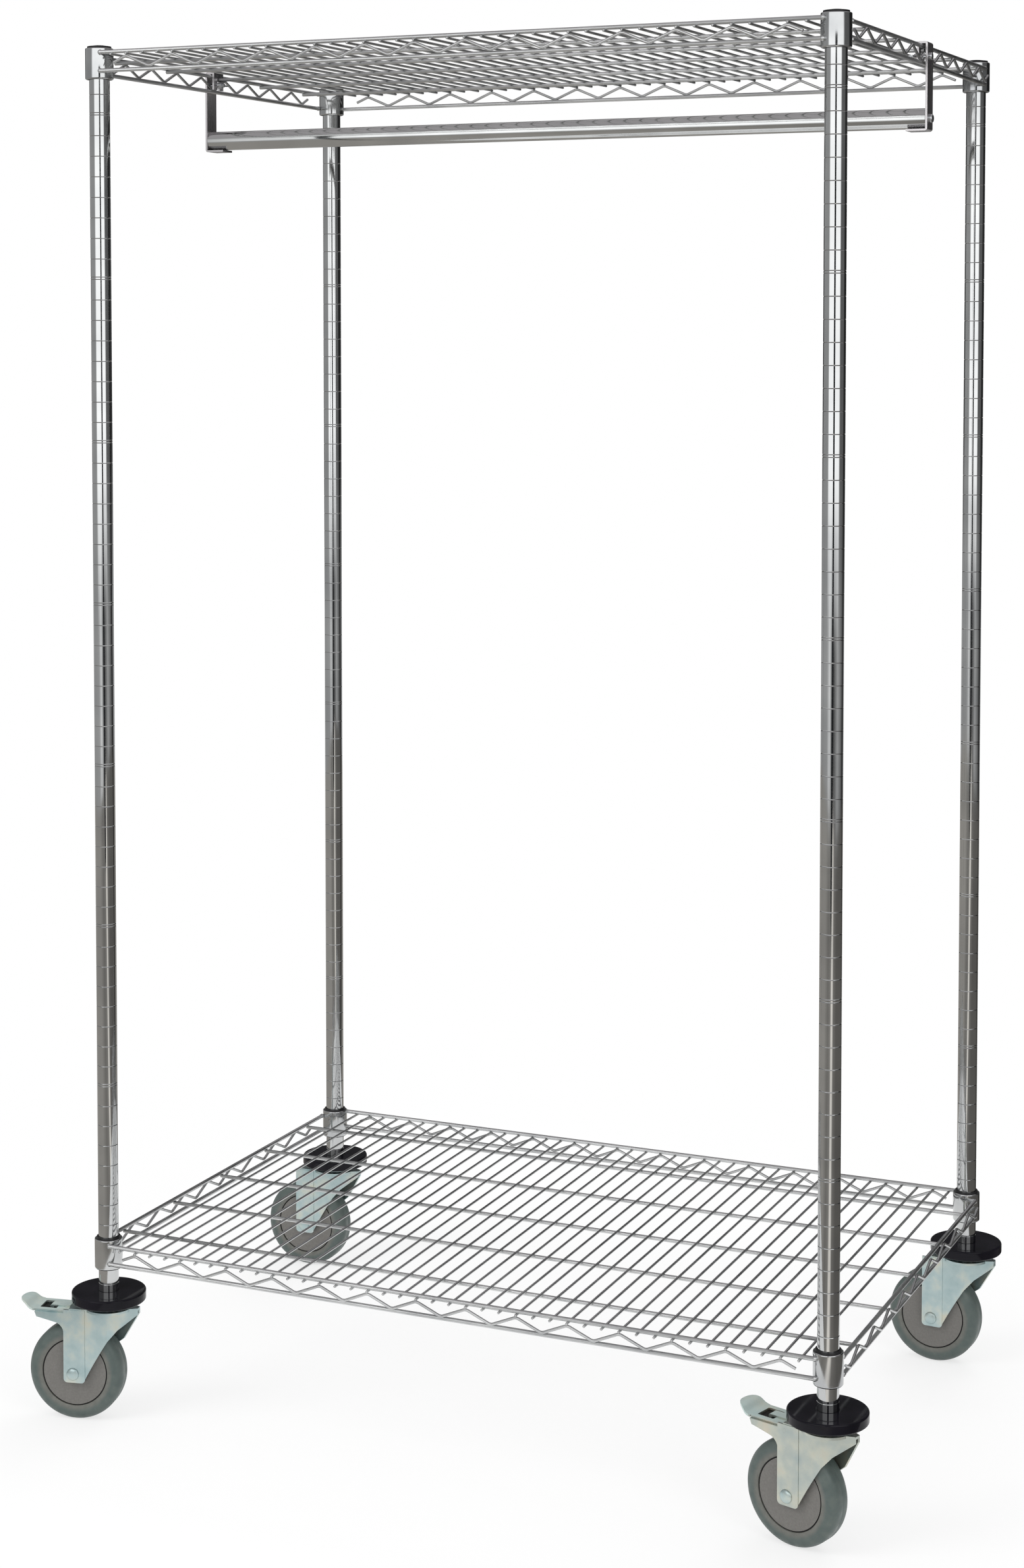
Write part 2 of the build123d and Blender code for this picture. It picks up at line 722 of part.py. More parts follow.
def make_fork(corner):
    """Pressed fork: crown, raised legs, front flanges that close to a nose, and skirts if it has a brake."""
    crease = trail - leg_lead - leg_half_width
    back = trail - leg_lead + leg_half_width
    foot = wheel_radius - leg_below_axle
    kink_run = crease + flange_kink_reach
    kink_turn = degrees(atan((fork_half_width - flange_kink_half_width) / kink_run))
    kink_length = kink_run / cos(radians(kink_turn))
    waist = (crease - flange_waist_back) / cos(radians(kink_turn))
    nose_run = nose_reach - flange_kink_reach
    nose_turn = degrees(atan((flange_kink_half_width - nose_half_width) / nose_run))
    nose_length = nose_run / cos(radians(nose_turn))
    knee_length = nose_length * (flange_knee_reach - flange_kink_reach) / nose_run
    top = crown_underside + crown_thickness / 2
    skirt_top = crown_underside - skirt_fall
    pivot = pivot_place()
    with BuildPart() as fork:
        for side in (-1, 1):
            face = side_plane(corner, side * fork_half_width)
            with BuildSketch(side_plane(corner, side * leg_face)):
                with BuildLine():
                    Polyline((crease, top), (crease, foot), (back, foot), (back, top), close=True)
                make_face()
                fillet(vertices().group_by(Axis.Y)[0], leg_corner_radius)
            extrude(amount=side * fork_thickness)
            knee_height, kink_height, waist_height = flange_heights[side]
            with BuildSketch(turned_plane(face, crease, side * kink_turn)):
                with BuildLine():
                    lead = ThreePointArc(
                        (0, foot + leg_corner_radius),
                        (-waist, waist_height),
                        (-kink_length, kink_height),
                    )
                    Polyline(lead @ 1, (-kink_length, top), (0, top), lead @ 0)
                make_face()
            extrude(amount=side * fork_thickness)
            kink_face = side_plane(corner, side * flange_kink_half_width)
            with BuildSketch(turned_plane(kink_face, -flange_kink_reach, side * nose_turn)):
                Polygon(
                    (0, kink_height),
                    (-knee_length, knee_height),
                    (-nose_length, crown_underside - nose_depth),
                    (-nose_length, top),
                    (0, top),
                    align=None,
                )
            extrude(amount=side * fork_thickness)
            if corner in braked:
                with BuildSketch(face):
                    with BuildLine():
                        edge = Spline(
                            (skirt_reach - skirt_end_slant, skirt_top - skirt_end_depth),
                            *[(back + behind, wheel_radius + above) for behind, above in skirt_curve],
                            tangents=[(-1, -0.2), (0, -1)],
                        )
                        Polyline(
                            edge @ 1,
                            (trail - leg_lead, (edge @ 1).Y),
                            (trail - leg_lead, top),
                            (back - leg_half_width / 2, top),
                            (back, skirt_top),
                            (skirt_reach, skirt_top),
                            edge @ 0,
                        )
                    make_face()
                extrude(amount=side * fork_thickness)
        base = caster_plane(corner)
        with BuildSketch(base.offset(crown_underside)):
            with BuildLine():
                Polyline(
                    (back - leg_half_width / 2, fork_half_width),
                    (crease, fork_half_width),
                    (-flange_kink_reach, flange_kink_half_width),
                    (-nose_reach, nose_half_width),
                    (-nose_reach, -nose_half_width),
                    (-flange_kink_reach, -flange_kink_half_width),
                    (crease, -fork_half_width),
                    (back - leg_half_width / 2, -fork_half_width),
                    close=True,
                )
            make_face()
            Circle(crown_disc_radius)
        extrude(amount=crown_thickness)
        with BuildSketch(base.offset(crown_underside)):
            Circle(stem_diameter / 2 + running_gap)
        extrude(amount=2 * crown_thickness, mode=Mode.SUBTRACT)
        ring_race(*corners[corner])
        with BuildSketch(side_plane(corner)):
            with Locations((trail, wheel_radius)):
                Circle(axle_diameter / 2 + tight_gap)
            if corner in braked:
                with Locations(pivot):
                    Circle(pivot_diameter / 2 + tight_gap)
        extrude(amount=2 * fork_half_width, both=True, mode=Mode.SUBTRACT)
    return fork


def make_axle(corner):
    """Axle bolt with a domed head against one leg, and its nut against the other."""
    head_seat = leg_face + seat_gap
    with BuildPart() as axle:
        with BuildSketch(side_plane(corner, head_seat + axle_head_height)):
            with Locations((trail, wheel_radius)):
                Circle(axle_diameter / 2)
        extrude(amount=2 * head_seat + axle_head_height + nut_height + thread_show)
        with BuildSketch(side_plane(corner, head_seat)):
            with Locations((trail, wheel_radius)):
                Circle(axle_head_radius)
        extrude(amount=-axle_head_height)
        rim = axle.edges().filter_by(GeomType.CIRCLE)
        dome = rim.filter_by(lambda edge: abs(edge.radius - axle_head_radius) < tight_gap)
        outermost = caster_plane(corner).y_dir
        fillet(dome.sort_by(Axis((0, 0, 0), outermost))[-1], axle_head_round)
        with BuildSketch(side_plane(corner, -head_seat)):
            with Locations((trail, wheel_radius)):
                RegularPolygon(nut_across_flats / 2, 6, major_radius=False)
                Circle(axle_diameter / 2 + tight_gap, mode=Mode.SUBTRACT)
        extrude(amount=nut_height)
    return axle


def wheel_section(corner, *outline):
    """Revolve an outline of (distance from the axle, distance towards the head) about the axle."""
    base = caster_plane(corner)
    hub_middle = base.from_local_coords(Vector(trail, 0, wheel_radius))
    with BuildSketch(Plane(origin=hub_middle, x_dir=(0, 0, 1), z_dir=-base.x_dir)) as section:
        with BuildLine():
            Polyline(*outline, close=True)
        make_face()
    revolve(section.sketch, axis=Axis(hub_middle, base.y_dir))


def make_hub(corner):
    """Flat-faced plastic wheel centre, bored for the bushes."""
    bore = bush_radius + tight_gap
    rim = hub_diameter / 2
    lip = rim - hub_rim_width
    edge = hub_width / 2
    face = edge - hub_recess
    with BuildPart() as hub:
        wheel_section(
            corner,
            (bore, -face),
            (lip - hub_rim_slope, -face),
            (lip, -edge),
            (rim, -edge),
            (rim, edge),
            (lip, edge),
            (lip - hub_rim_slope, face),
            (bore, face),
        )
    return hub


def shoulder_arc(edge, inward):
    """Quarter round from a tyre's side face to its tread."""
    middle_x = wheel_radius - tyre_shoulder
    middle_y = edge + inward * tyre_shoulder
    half_turn = tyre_shoulder * sin(radians(45))
    return ThreePointArc(
        (middle_x, edge),
        (middle_x + half_turn, middle_y - inward * half_turn),
        (wheel_radius, middle_y),
    )


def make_tyre(corner):
    """Solid rubber tyre with rounded shoulders, bonded to the hub."""
    inner = hub_diameter / 2 + tight_gap
    half = tyre_width / 2
    base = caster_plane(corner)
    hub_middle = base.from_local_coords(Vector(trail, 0, wheel_radius))
    with BuildPart() as tyre:
        with BuildSketch(Plane(origin=hub_middle, x_dir=(0, 0, 1), z_dir=-base.x_dir)):
            with BuildLine():
                near = shoulder_arc(-half, 1)
                Line(near @ 1, (wheel_radius, half - tyre_shoulder))
                far = shoulder_arc(half, -1)
                Polyline(far @ 0, (inner, half - tyre_face_fall), (inner, -half + tyre_face_fall), near @ 0)
            make_face()
        revolve(axis=Axis(hub_middle, base.y_dir))
    return tyre


def make_bushes(corner):
    """Flanged steel bushes that carry the wheel on its axle and keep it clear of the legs."""
    bore = axle_diameter / 2 + running_gap
    flange = hub_width / 2 - hub_recess + tight_gap
    with BuildPart() as bushes:
        for side in (-1, 1):
            wheel_section(
                corner,
                (bore, side * bush_inner_end),
                (bush_radius, side * bush_inner_end),
                (bush_radius, side * flange),
                (bush_flange_radius, side * flange),
                (bush_flange_radius - bush_flange_slope, side * bush_end),
                (bore, side * bush_end),
            )
    return bushes


def shoe_point(reach):
    """Where the released shoe holds a point that meets the tyre when the pedal is pressed."""
    touch = wheel_radius + sqrt((wheel_radius + side_gap) ** 2 - (reach - trail) ** 2)
    pivot_x, pivot_z = pivot_place()
    turn = radians(pedal_press)
    across = reach - pivot_x
    up = touch - pivot_z
    return pivot_x + across * cos(turn) - up * sin(turn), pivot_z + across * sin(turn) + up * cos(turn)


def make_pedal(corner):
    """Brake pedal: a flanged plate hinged between the legs, a turned-up pad and a shoe over the tyre."""
    pivot_x, pivot_z = pivot_place()
    thick = pedal_thickness
    start_x, start_z = pivot_x, pivot_z + pivot_knuckle_radius
    end_x, end_z = skirt_reach + pedal_overhang, crown_underside - skirt_fall + open_gap + thick
    slope = (end_z - start_z) / (end_x - start_x)
    bulge_x, bulge_z = end_x + pad_length * pad_bulge_reach, end_z + pad_rise * pad_bulge_rise
    tip_x, tip_z = end_x + pad_length, end_z + pad_rise - pad_edge
    foot_front = shoe_point(shoe_front)
    foot_back = shoe_point(shoe_back)
    plate_over_shoe = start_z + slope * (foot_back[0] - start_x) - thick / 2
    upright = side_plane(corner)
    with BuildPart() as pedal:
        with BuildSketch(upright):
            Polygon(
                (start_x, start_z),
                (end_x, end_z),
                (end_x, end_z - thick),
                (start_x, start_z - thick),
                align=None,
            )
        extrude(amount=pedal_width / 2, both=True)
        for side in (-1, 1):
            with BuildSketch(side_plane(corner, side * pedal_width / 2)):
                Polygon(
                    (start_x, start_z),
                    (end_x - thick / 2, end_z),
                    (end_x - thick / 2, end_z - thick),
                    (end_x - flange_depth, end_z - flange_depth),
                    (start_x, start_z - flange_depth),
                    align=None,
                )
            extrude(amount=side * thick)
        with BuildSketch(upright):
            with BuildLine():
                rise = Spline(
                    (end_x - thick / 2, end_z - thick),
                    (bulge_x, bulge_z - thick),
                    (tip_x, tip_z - thick),
                    tangents=[(1, slope), (1, -pad_tip_slope)],
                )
                Line(rise @ 1, (tip_x, tip_z))
                top = Spline(
                    (tip_x, tip_z),
                    (bulge_x - thick / 2, bulge_z),
                    (end_x - thick / 2, end_z),
                    tangents=[(-1, pad_tip_slope), (-1, -slope)],
                )
                Line(top @ 1, rise @ 0)
            make_face()
        extrude(amount=pad_width / 2, both=True)
        with BuildSketch(caster_plane(corner)):
            with Locations((tip_x - pad_width / 4, 0)):
                Rectangle(pad_width / 2, pad_width)
            with Locations((tip_x - pad_width / 2, 0)):
                Circle(pad_width / 2, mode=Mode.SUBTRACT)
        extrude(amount=tip_z + pad_rise, mode=Mode.SUBTRACT)
        with BuildSketch(upright):
            with Locations((pivot_x, pivot_z)):
                Circle(pivot_knuckle_radius)
            Polygon(
                (foot_front[0], plate_over_shoe),
                foot_front,
                foot_back,
                (foot_back[0], plate_over_shoe),
                align=None,
            )
        extrude(amount=shoe_width / 2, both=True)
        with BuildSketch(caster_plane(corner).offset(crown_underside)):
            with Locations(((window_start + window_end) / 2, 0)):
                RectangleRounded(window_end - window_start, window_width, window_corner)
        extrude(amount=-skirt_fall - thick, mode=Mode.SUBTRACT)
        tongue_top = start_z + slope * (tongue_end - start_x) + tongue_rise
        with BuildSketch(upright):
            Polygon(
                (tongue_start, tongue_top),
                (tongue_end, tongue_top),
                (tongue_end, tongue_top - thick),
                (tongue_start, tongue_top - thick - tongue_rise / 2),
                align=None,
            )
            with Locations((tongue_end, tongue_top - tongue_curl)):
                Circle(tongue_curl)
        extrude(amount=tongue_width / 2, both=True)
        with BuildSketch(upright):
            with Locations((pivot_x, pivot_z)):
                Circle(pivot_diameter / 2 + running_gap)
        extrude(amount=pedal_width, both=True, mode=Mode.SUBTRACT)
    return pedal


def make_pivot(corner):
    """Brake pivot pin, pressed through the legs and flush with them."""
    with BuildPart() as pin:
        with BuildSketch(side_plane(corner)):
            with Locations(pivot_place()):
                Circle(pivot_diameter / 2)
        extrude(amount=leg_face, both=True)
    return pin


for name, (x, y) in corners.items():
    write(make_post(x, y), f"post_{name}")
write(make_post_caps(), "post_caps")
write(make_sockets(), "post_sockets")
for shelf in shelf_rings:
    write(make_collars(shelf), f"{shelf}_shelf_collars")
    write(make_sleeves(shelf), f"{shelf}_shelf_sleeves")
    write(make_front_or_rear_truss(shelf, -1), f"{shelf}_shelf_front_truss")
    write(make_front_or_rear_truss(shelf, 1), f"{shelf}_shelf_rear_truss")
    write(make_side_truss(shelf, -1), f"{shelf}_shelf_left_truss")
    write(make_side_truss(shelf, 1), f"{shelf}_shelf_right_truss")
    write(make_deck_wires(shelf), f"{shelf}_shelf_deck_wires")
    write(make_support_wires(shelf), f"{shelf}_shelf_support_wires")
write(make_hanging_bar(), "hanging_bar")
write(make_strap(-1), "bar_strap_left")
write(make_strap(1), "bar_strap_right")
write(make_bar_plugs(), "bar_end_plugs")
write(make_bar_screws(), "bar_screws")
write(make_clamp_bolts(), "strap_clamp_bolts")
write(make_wing_nuts(), "strap_wing_nuts")
write(make_stems(), "caster_stems")
write(make_races(), "caster_race_cups")
write(make_bumpers(), "caster_bumpers")
for corner in corners:
    write(make_balls(corner), f"caster_balls_{corner}")
    write(make_fork(corner), f"caster_fork_{corner}")
    write(make_axle(corner), f"axle_bolt_{corner}")
    write(make_hub(corner), f"wheel_hub_{corner}")
    write(make_tyre(corner), f"wheel_tyre_{corner}")
    write(make_bushes(corner), f"wheel_bushes_{corner}")
for corner in braked:
    write(make_pedal(corner), f"brake_pedal_{corner}")
    write(make_pivot(corner), f"brake_pivot_{corner}")
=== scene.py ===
import json
import math

import bpy
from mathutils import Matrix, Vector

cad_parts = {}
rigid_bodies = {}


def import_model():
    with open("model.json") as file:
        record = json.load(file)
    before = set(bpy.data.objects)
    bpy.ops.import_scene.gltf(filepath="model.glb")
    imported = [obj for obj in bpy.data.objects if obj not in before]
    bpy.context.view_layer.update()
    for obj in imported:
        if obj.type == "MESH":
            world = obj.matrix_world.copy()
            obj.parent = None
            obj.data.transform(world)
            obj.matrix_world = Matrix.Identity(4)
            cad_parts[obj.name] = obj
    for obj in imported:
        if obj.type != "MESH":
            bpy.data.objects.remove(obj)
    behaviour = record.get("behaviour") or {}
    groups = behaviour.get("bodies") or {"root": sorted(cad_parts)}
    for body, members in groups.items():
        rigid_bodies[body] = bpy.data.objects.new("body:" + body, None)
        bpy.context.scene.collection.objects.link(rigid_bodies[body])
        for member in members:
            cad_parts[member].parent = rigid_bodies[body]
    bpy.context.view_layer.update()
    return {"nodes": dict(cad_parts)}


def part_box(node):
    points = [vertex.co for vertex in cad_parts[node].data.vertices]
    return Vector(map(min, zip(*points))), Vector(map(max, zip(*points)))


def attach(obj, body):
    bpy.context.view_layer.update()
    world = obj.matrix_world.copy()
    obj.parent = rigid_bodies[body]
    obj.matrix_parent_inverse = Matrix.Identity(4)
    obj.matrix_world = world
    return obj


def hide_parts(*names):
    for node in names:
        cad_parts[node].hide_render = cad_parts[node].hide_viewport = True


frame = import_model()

CORNERS = ("front_left", "front_right", "rear_left", "rear_right")
BRAKED = ("front_left", "front_right")
MM = 0.001
SAME_POINT = 0.005 * MM  # points nearer than this are welded into one
WHEEL_RADIUS = 62  # in millimetres, as are the sizes of all pieces of the rack below


# ---- working at the bench ----


def put_down():
    """Leave edit mode and let go of everything."""
    if bpy.context.mode != "OBJECT":
        bpy.ops.object.mode_set(mode="OBJECT")
    bpy.ops.object.select_all(action="DESELECT")


def pick_up(*pieces):
    """Hold only these pieces; the first is the one worked on."""
    put_down()
    for piece in pieces:
        piece.select_set(True)
    bpy.context.view_layer.objects.active = pieces[0]


def choose(piece, kind, wanted):
    """Open a piece in edit mode with only the wanted points, edges or faces chosen."""
    pick_up(piece)
    bpy.ops.object.mode_set(mode="EDIT")
    bpy.ops.mesh.select_mode(type=kind)
    bpy.ops.mesh.select_all(action="DESELECT")
    bpy.ops.object.mode_set(mode="OBJECT")
    mesh = piece.data
    if kind == "VERT":
        for point in mesh.vertices:
            point.select = wanted(point.co)
    elif kind == "EDGE":
        for edge in mesh.edges:
            edge.select = wanted(*[mesh.vertices[end].co for end in edge.vertices])
    else:
        for face in mesh.polygons:
            face.select = wanted(face.center, face.normal)
    bpy.ops.object.mode_set(mode="EDIT")


def settle(piece, spot=(0, 0, 0), turn=(0, 0, 0)):
    """Turn a piece, set it down in its place and leave that place in its mesh."""
    piece.rotation_euler = turn
    piece.location = spot
    pick_up(piece)
    bpy.ops.object.transform_apply(location=True, rotation=True, scale=True)
    return piece


def copied(piece, name, spot=(0, 0, 0), turn=(0, 0, 0)):
    """Another of the same piece with a mesh of its own."""
    pick_up(piece)
    bpy.ops.object.duplicate(linked=False)
    made = bpy.context.object
    made.name = name
    return settle(made, spot, turn)


def joined(name, pieces):
    """Several pieces as one."""
    pick_up(*pieces)
    bpy.ops.object.join()
    pieces[0].name = name
    return pieces[0]


def turned(name, outline, around=48):
    """A round piece on the Z axis, drawn up ring by ring through (radius, height) in millimetres."""
    tip = 0.001  # a point on the axis is drawn as a ring this small, then welded
    wide, high = outline[0]
    put_down()
    bpy.ops.mesh.primitive_circle_add(
        vertices=around, radius=max(wide, tip) * MM, location=(0, 0, high * MM)
    )
    piece = bpy.context.object
    piece.name = name
    bpy.ops.object.transform_apply(location=True)
    bpy.ops.object.mode_set(mode="EDIT")
    bpy.ops.mesh.select_mode(type="VERT")
    bpy.ops.mesh.select_all(action="SELECT")
    for next_wide, next_high in outline[1:]:
        bpy.ops.mesh.extrude_region_move(
            TRANSFORM_OT_translate={"value": (0, 0, (next_high - high) * MM)}
        )
        grow = max(next_wide, tip) / max(wide, tip)
        bpy.ops.transform.resize(value=(grow, grow, 1), center_override=(0, 0, next_high * MM))
        wide, high = next_wide, next_high
    bpy.ops.mesh.select_all(action="SELECT")
    bpy.ops.mesh.remove_doubles(threshold=SAME_POINT)
    bpy.ops.mesh.normals_make_consistent(inside=False)
    put_down()
    return piece


def softened(piece, width, steps=2, angle=35):
    """Round off every edge sharper than the angle."""
    pick_up(piece)
    bevel = piece.modifiers.new("softened", "BEVEL")
    bevel.width = width * MM
    bevel.segments = steps
    bevel.limit_method = "ANGLE"
    bevel.angle_limit = math.radians(angle)
    bevel.miter_outer = "MITER_ARC"
    bpy.ops.object.modifier_apply(modifier=bevel.name)
    return piece


def smoothed(piece, angle=40):
    """Shade a piece smooth, but not across edges sharper than the angle."""
    pick_up(piece)
    bpy.ops.object.shade_smooth_by_angle(angle=math.radians(angle))
    return piece


def levelled(piece):
    """Keep the broad faces shading flat beside their rounded edges."""
    pick_up(piece)
    level = piece.modifiers.new("level", "WEIGHTED_NORMAL")
    level.keep_sharp = True
    bpy.ops.object.modifier_apply(modifier=level.name)
    return piece


def repeated(piece, count, step, weld=False):
    """A row of the same shape, each a step from the last, in metres."""
    pick_up(piece)
    row = piece.modifiers.new("repeated", "ARRAY")
    row.count = count
    row.use_relative_offset = False
    row.use_constant_offset = True
    row.constant_offset_displace = step
    row.use_merge_vertices = weld
    row.merge_threshold = 2 * SAME_POINT
    bpy.ops.object.modifier_apply(modifier=row.name)
    return piece


def bent_wire(name, points, radius, bend):
    """Round wire through points in millimetres, its corners bent round."""
    put_down()
    start = [part * MM for part in points[0]]
    bpy.ops.mesh.primitive_plane_add(size=MM, location=start)
    wire = bpy.context.object
    wire.name = name
    bpy.ops.object.transform_apply(location=True)
    bpy.ops.object.mode_set(mode="EDIT")
    bpy.ops.mesh.select_mode(type="VERT")
    bpy.ops.mesh.select_all(action="SELECT")
    bpy.ops.mesh.merge(type="CENTER")
    for here, there in zip(points, points[1:]):
        step = [(b - a) * MM for a, b in zip(here, there)]
        bpy.ops.mesh.extrude_vertices_move(TRANSFORM_OT_translate={"value": step})
    ends = [[part * MM for part in end] for end in (points[0], points[-1])]
    end_zone = 0.5 * MM
    choose(wire, "VERT", lambda at: min((at - type(at)(end)).length for end in ends) > end_zone)
    bpy.ops.mesh.bevel(offset=bend * MM, segments=4, affect="VERTICES")
    put_down()
    pick_up(wire)
    bpy.ops.object.convert(target="CURVE")
    wire = bpy.context.object
    wire.data.bevel_depth = radius * MM
    wire.data.bevel_resolution = 3
    wire.data.use_fill_caps = True
    bpy.ops.object.convert(target="MESH")
    wire = bpy.context.object
    bpy.ops.object.mode_set(mode="EDIT")
    bpy.ops.mesh.select_all(action="SELECT")
    bpy.ops.mesh.remove_doubles(threshold=SAME_POINT)
    bpy.ops.mesh.normals_make_consistent(inside=False)
    put_down()
    return smoothed(wire, 50)


def eased_copy(name, node, width, angle=30):
    """A pressed or cast CAD shape with its sharp edges eased."""
    pick_up(frame["nodes"][node])
    bpy.ops.object.duplicate(linked=False)
    made = bpy.context.object
    made.name = name
    for key in list(made.keys()):
        if key.startswith("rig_"):
            del made[key]
    bpy.ops.object.parent_clear(type="CLEAR_KEEP_TRANSFORM")
    bpy.ops.object.mode_set(mode="EDIT")
    bpy.ops.mesh.select_mode(type="FACE")
    bpy.ops.mesh.select_all(action="SELECT")
    bpy.ops.mesh.remove_doubles(threshold=2 * SAME_POINT)
    bpy.ops.mesh.dissolve_limited(angle_limit=math.radians(0.5))
    put_down()
    softened(made, width, 2, angle)
    return levelled(smoothed(made, 32))


def fitted(piece, body, nodes, slot, *finishes):
    """Give a piece its finish and hang it on its body in place of the CAD nodes."""
    for finish in finishes:
        piece.data.materials.append(finish)
    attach(piece, body)
    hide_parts(*nodes)
    return piece


# ---- finishes ----


class Finish:
    """A finish being mixed: its shader and the patterns that vary it."""

    def __init__(self, name, colour, metallic=0.0, roughness=0.5):
        self.made = bpy.data.materials.new(name)
        self.made.use_nodes = True
        self.tree = self.made.node_tree
        self.shader = self.tree.nodes["Principled BSDF"]
        self.shader.inputs["Base Color"].default_value = (*colour, 1)
        self.shader.inputs["Metallic"].default_value = metallic
        self.shader.inputs["Roughness"].default_value = roughness
        self.made.diffuse_color = (*colour, 1)

    def node(self, kind):
        """A new shader node, by the end of its kind's name."""
        return self.tree.nodes.new("ShaderNode" + kind)

    def join(self, output, socket):
        self.tree.links.new(output, socket)

    def pattern(self, scale, stretch=(1, 1, 1), detail=3.0):
        """A cloudy pattern fixed to the piece; scale is in patches a metre."""
        where = self.node("TexCoord")
        drawn = self.node("Mapping")
        drawn.inputs["Scale"].default_value = stretch
        cloud = self.node("TexNoise")
        cloud.inputs["Scale"].default_value = scale
        cloud.inputs["Detail"].default_value = detail
        self.join(where.outputs["Object"], drawn.inputs["Vector"])
        self.join(drawn.outputs["Vector"], cloud.inputs["Vector"])
        return cloud.outputs["Fac"]

    def ramp(self, source, stops):
        """Colours along a pattern, as (place, colour)."""
        ramp = self.node("ValToRGB")
        elements = ramp.color_ramp.elements
        while len(elements) < len(stops):
            elements.new(0.5)
        for element, (place, colour) in zip(elements, stops):
            element.position = place
            element.color = (*colour, 1)
        self.join(source, ramp.inputs["Fac"])
        return ramp.outputs["Color"]

    def colour(self, source, stops):
        """Colours that follow a pattern."""
        self.join(self.ramp(source, stops), self.shader.inputs["Base Color"])

    def roughness(self, source, low, high):
        """Roughness that follows a pattern; its clouds lie mostly between 0.3 and 0.7."""
        spread = self.node("MapRange")
        spread.inputs["From Min"].default_value = 0.3
        spread.inputs["From Max"].default_value = 0.7
        spread.inputs["To Min"].default_value = low
        spread.inputs["To Max"].default_value = high
        self.join(source, spread.inputs["Value"])
        self.join(spread.outputs["Result"], self.shader.inputs["Roughness"])

    def bump(self, source, strength, depth):
        """Relief: depth in millimetres."""
        bump = self.node("Bump")
        bump.inputs["Strength"].default_value = strength
        bump.inputs["Distance"].default_value = depth * MM
        self.join(source, bump.inputs["Height"])
        self.join(bump.outputs["Normal"], self.shader.inputs["Normal"])


def chrome(name, light, dark, smooth, cloudy, stretch, drawn=0.15):
    """Bright nickel-chrome plate with faint clouding and the lines left by drawing the metal."""
    finish = Finish(name, light, 1.0, smooth)
    clouds = finish.pattern(14.0, (1, 1, 1), 4.0)
    finish.colour(clouds, [(0.32, dark), (0.66, light)])
    finish.roughness(finish.pattern(40.0, stretch, 3.0), smooth, cloudy)
    finish.bump(finish.pattern(900.0, stretch, 2.0), drawn, 0.02)
    return finish.made


post_chrome = chrome("post_chrome", (0.60, 0.61, 0.61), (0.50, 0.51, 0.515), 0.035, 0.10, (1, 1, 0.05))
wire_chrome = chrome("wire_chrome", (0.65, 0.66, 0.66), (0.51, 0.52, 0.525), 0.28, 0.44, (1, 1, 1))
collar_chrome = chrome("collar_chrome", (0.58, 0.59, 0.59), (0.40, 0.41, 0.42), 0.05, 0.17, (1, 1, 0.4))
bar_chrome = chrome("bar_chrome", (0.62, 0.63, 0.63), (0.54, 0.55, 0.55), 0.04, 0.10, (0.05, 1, 1), 0.04)
strap_chrome = chrome("strap_chrome", (0.60, 0.58, 0.59), (0.48, 0.47, 0.48), 0.22, 0.40, (1, 1, 0.15))
bolt_steel = chrome("bolt_steel", (0.62, 0.63, 0.64), (0.48, 0.50, 0.52), 0.12, 0.28, (1, 1, 1))

groove = Finish("groove_shade", (0.16, 0.165, 0.17), 1.0, 0.25)
groove.colour(groove.pattern(60.0), [(0.35, (0.11, 0.115, 0.12)), (0.65, (0.24, 0.245, 0.25))])
groove_shade = groove.made


def zinc(name, metallic, rough, stops):
    """Clouded zinc plate, its colours from the bluest patches to the yellowest."""
    finish = Finish(name, stops[1][1], metallic, rough)
    finish.colour(finish.pattern(38.0, (1, 1, 1), 5.0), stops)
    finish.roughness(finish.pattern(120.0, (1, 1, 1), 4.0), rough - 0.07, rough + 0.08)
    finish.bump(finish.pattern(700.0, (1, 1, 1), 3.0), 0.12, 0.05)
    return finish.made


zinc_plate = zinc(
    "zinc_plate",
    0.85,
    0.35,
    [
        (0.30, (0.36, 0.47, 0.48)),
        (0.47, (0.44, 0.54, 0.54)),
        (0.60, (0.55, 0.60, 0.55)),
        (0.70, (0.60, 0.59, 0.49)),
    ],
)
warm_zinc = zinc(
    "warm_zinc_plate",
    0.85,
    0.35,
    [
        (0.30, (0.40, 0.46, 0.45)),
        (0.45, (0.47, 0.51, 0.47)),
        (0.56, (0.54, 0.56, 0.49)),
        (0.70, (0.60, 0.56, 0.46)),
    ],
)
# Paler, less metallic zinc for the pedals' upward faces: partly the pads' own finish, partly painted
# light from above.
pad_zinc_painted_lit = zinc(
    "pad_zinc_painted_lit",
    0.35,
    0.45,
    [
        (0.32, (0.52, 0.64, 0.62)),
        (0.50, (0.58, 0.68, 0.65)),
        (0.62, (0.62, 0.70, 0.65)),
        (0.74, (0.66, 0.70, 0.61)),
    ],
)

gloss = Finish("bumper_rubber", (0.008, 0.008, 0.010), 0.0, 0.07)
gloss.shader.inputs["Specular IOR Level"].default_value = 0.15
gloss.colour(gloss.pattern(30.0), [(0.3, (0.004, 0.004, 0.006)), (0.7, (0.010, 0.009, 0.013))])
gloss.roughness(gloss.pattern(25.0), 0.05, 0.12)
gloss.bump(gloss.pattern(60.0, (1, 1, 1), 1.0), 0.01, 0.04)
bumper_rubber = gloss.made

plastic = Finish("black_plastic", (0.012, 0.012, 0.014), 0.0, 0.36)
plastic.shader.inputs["Specular IOR Level"].default_value = 0.32
plastic.colour(plastic.pattern(60.0), [(0.3, (0.008, 0.008, 0.009)), (0.7, (0.017, 0.017, 0.018))])
plastic.roughness(plastic.pattern(80.0), 0.26, 0.42)
plastic.bump(plastic.pattern(1500.0), 0.15, 0.03)
black_plastic = plastic.made

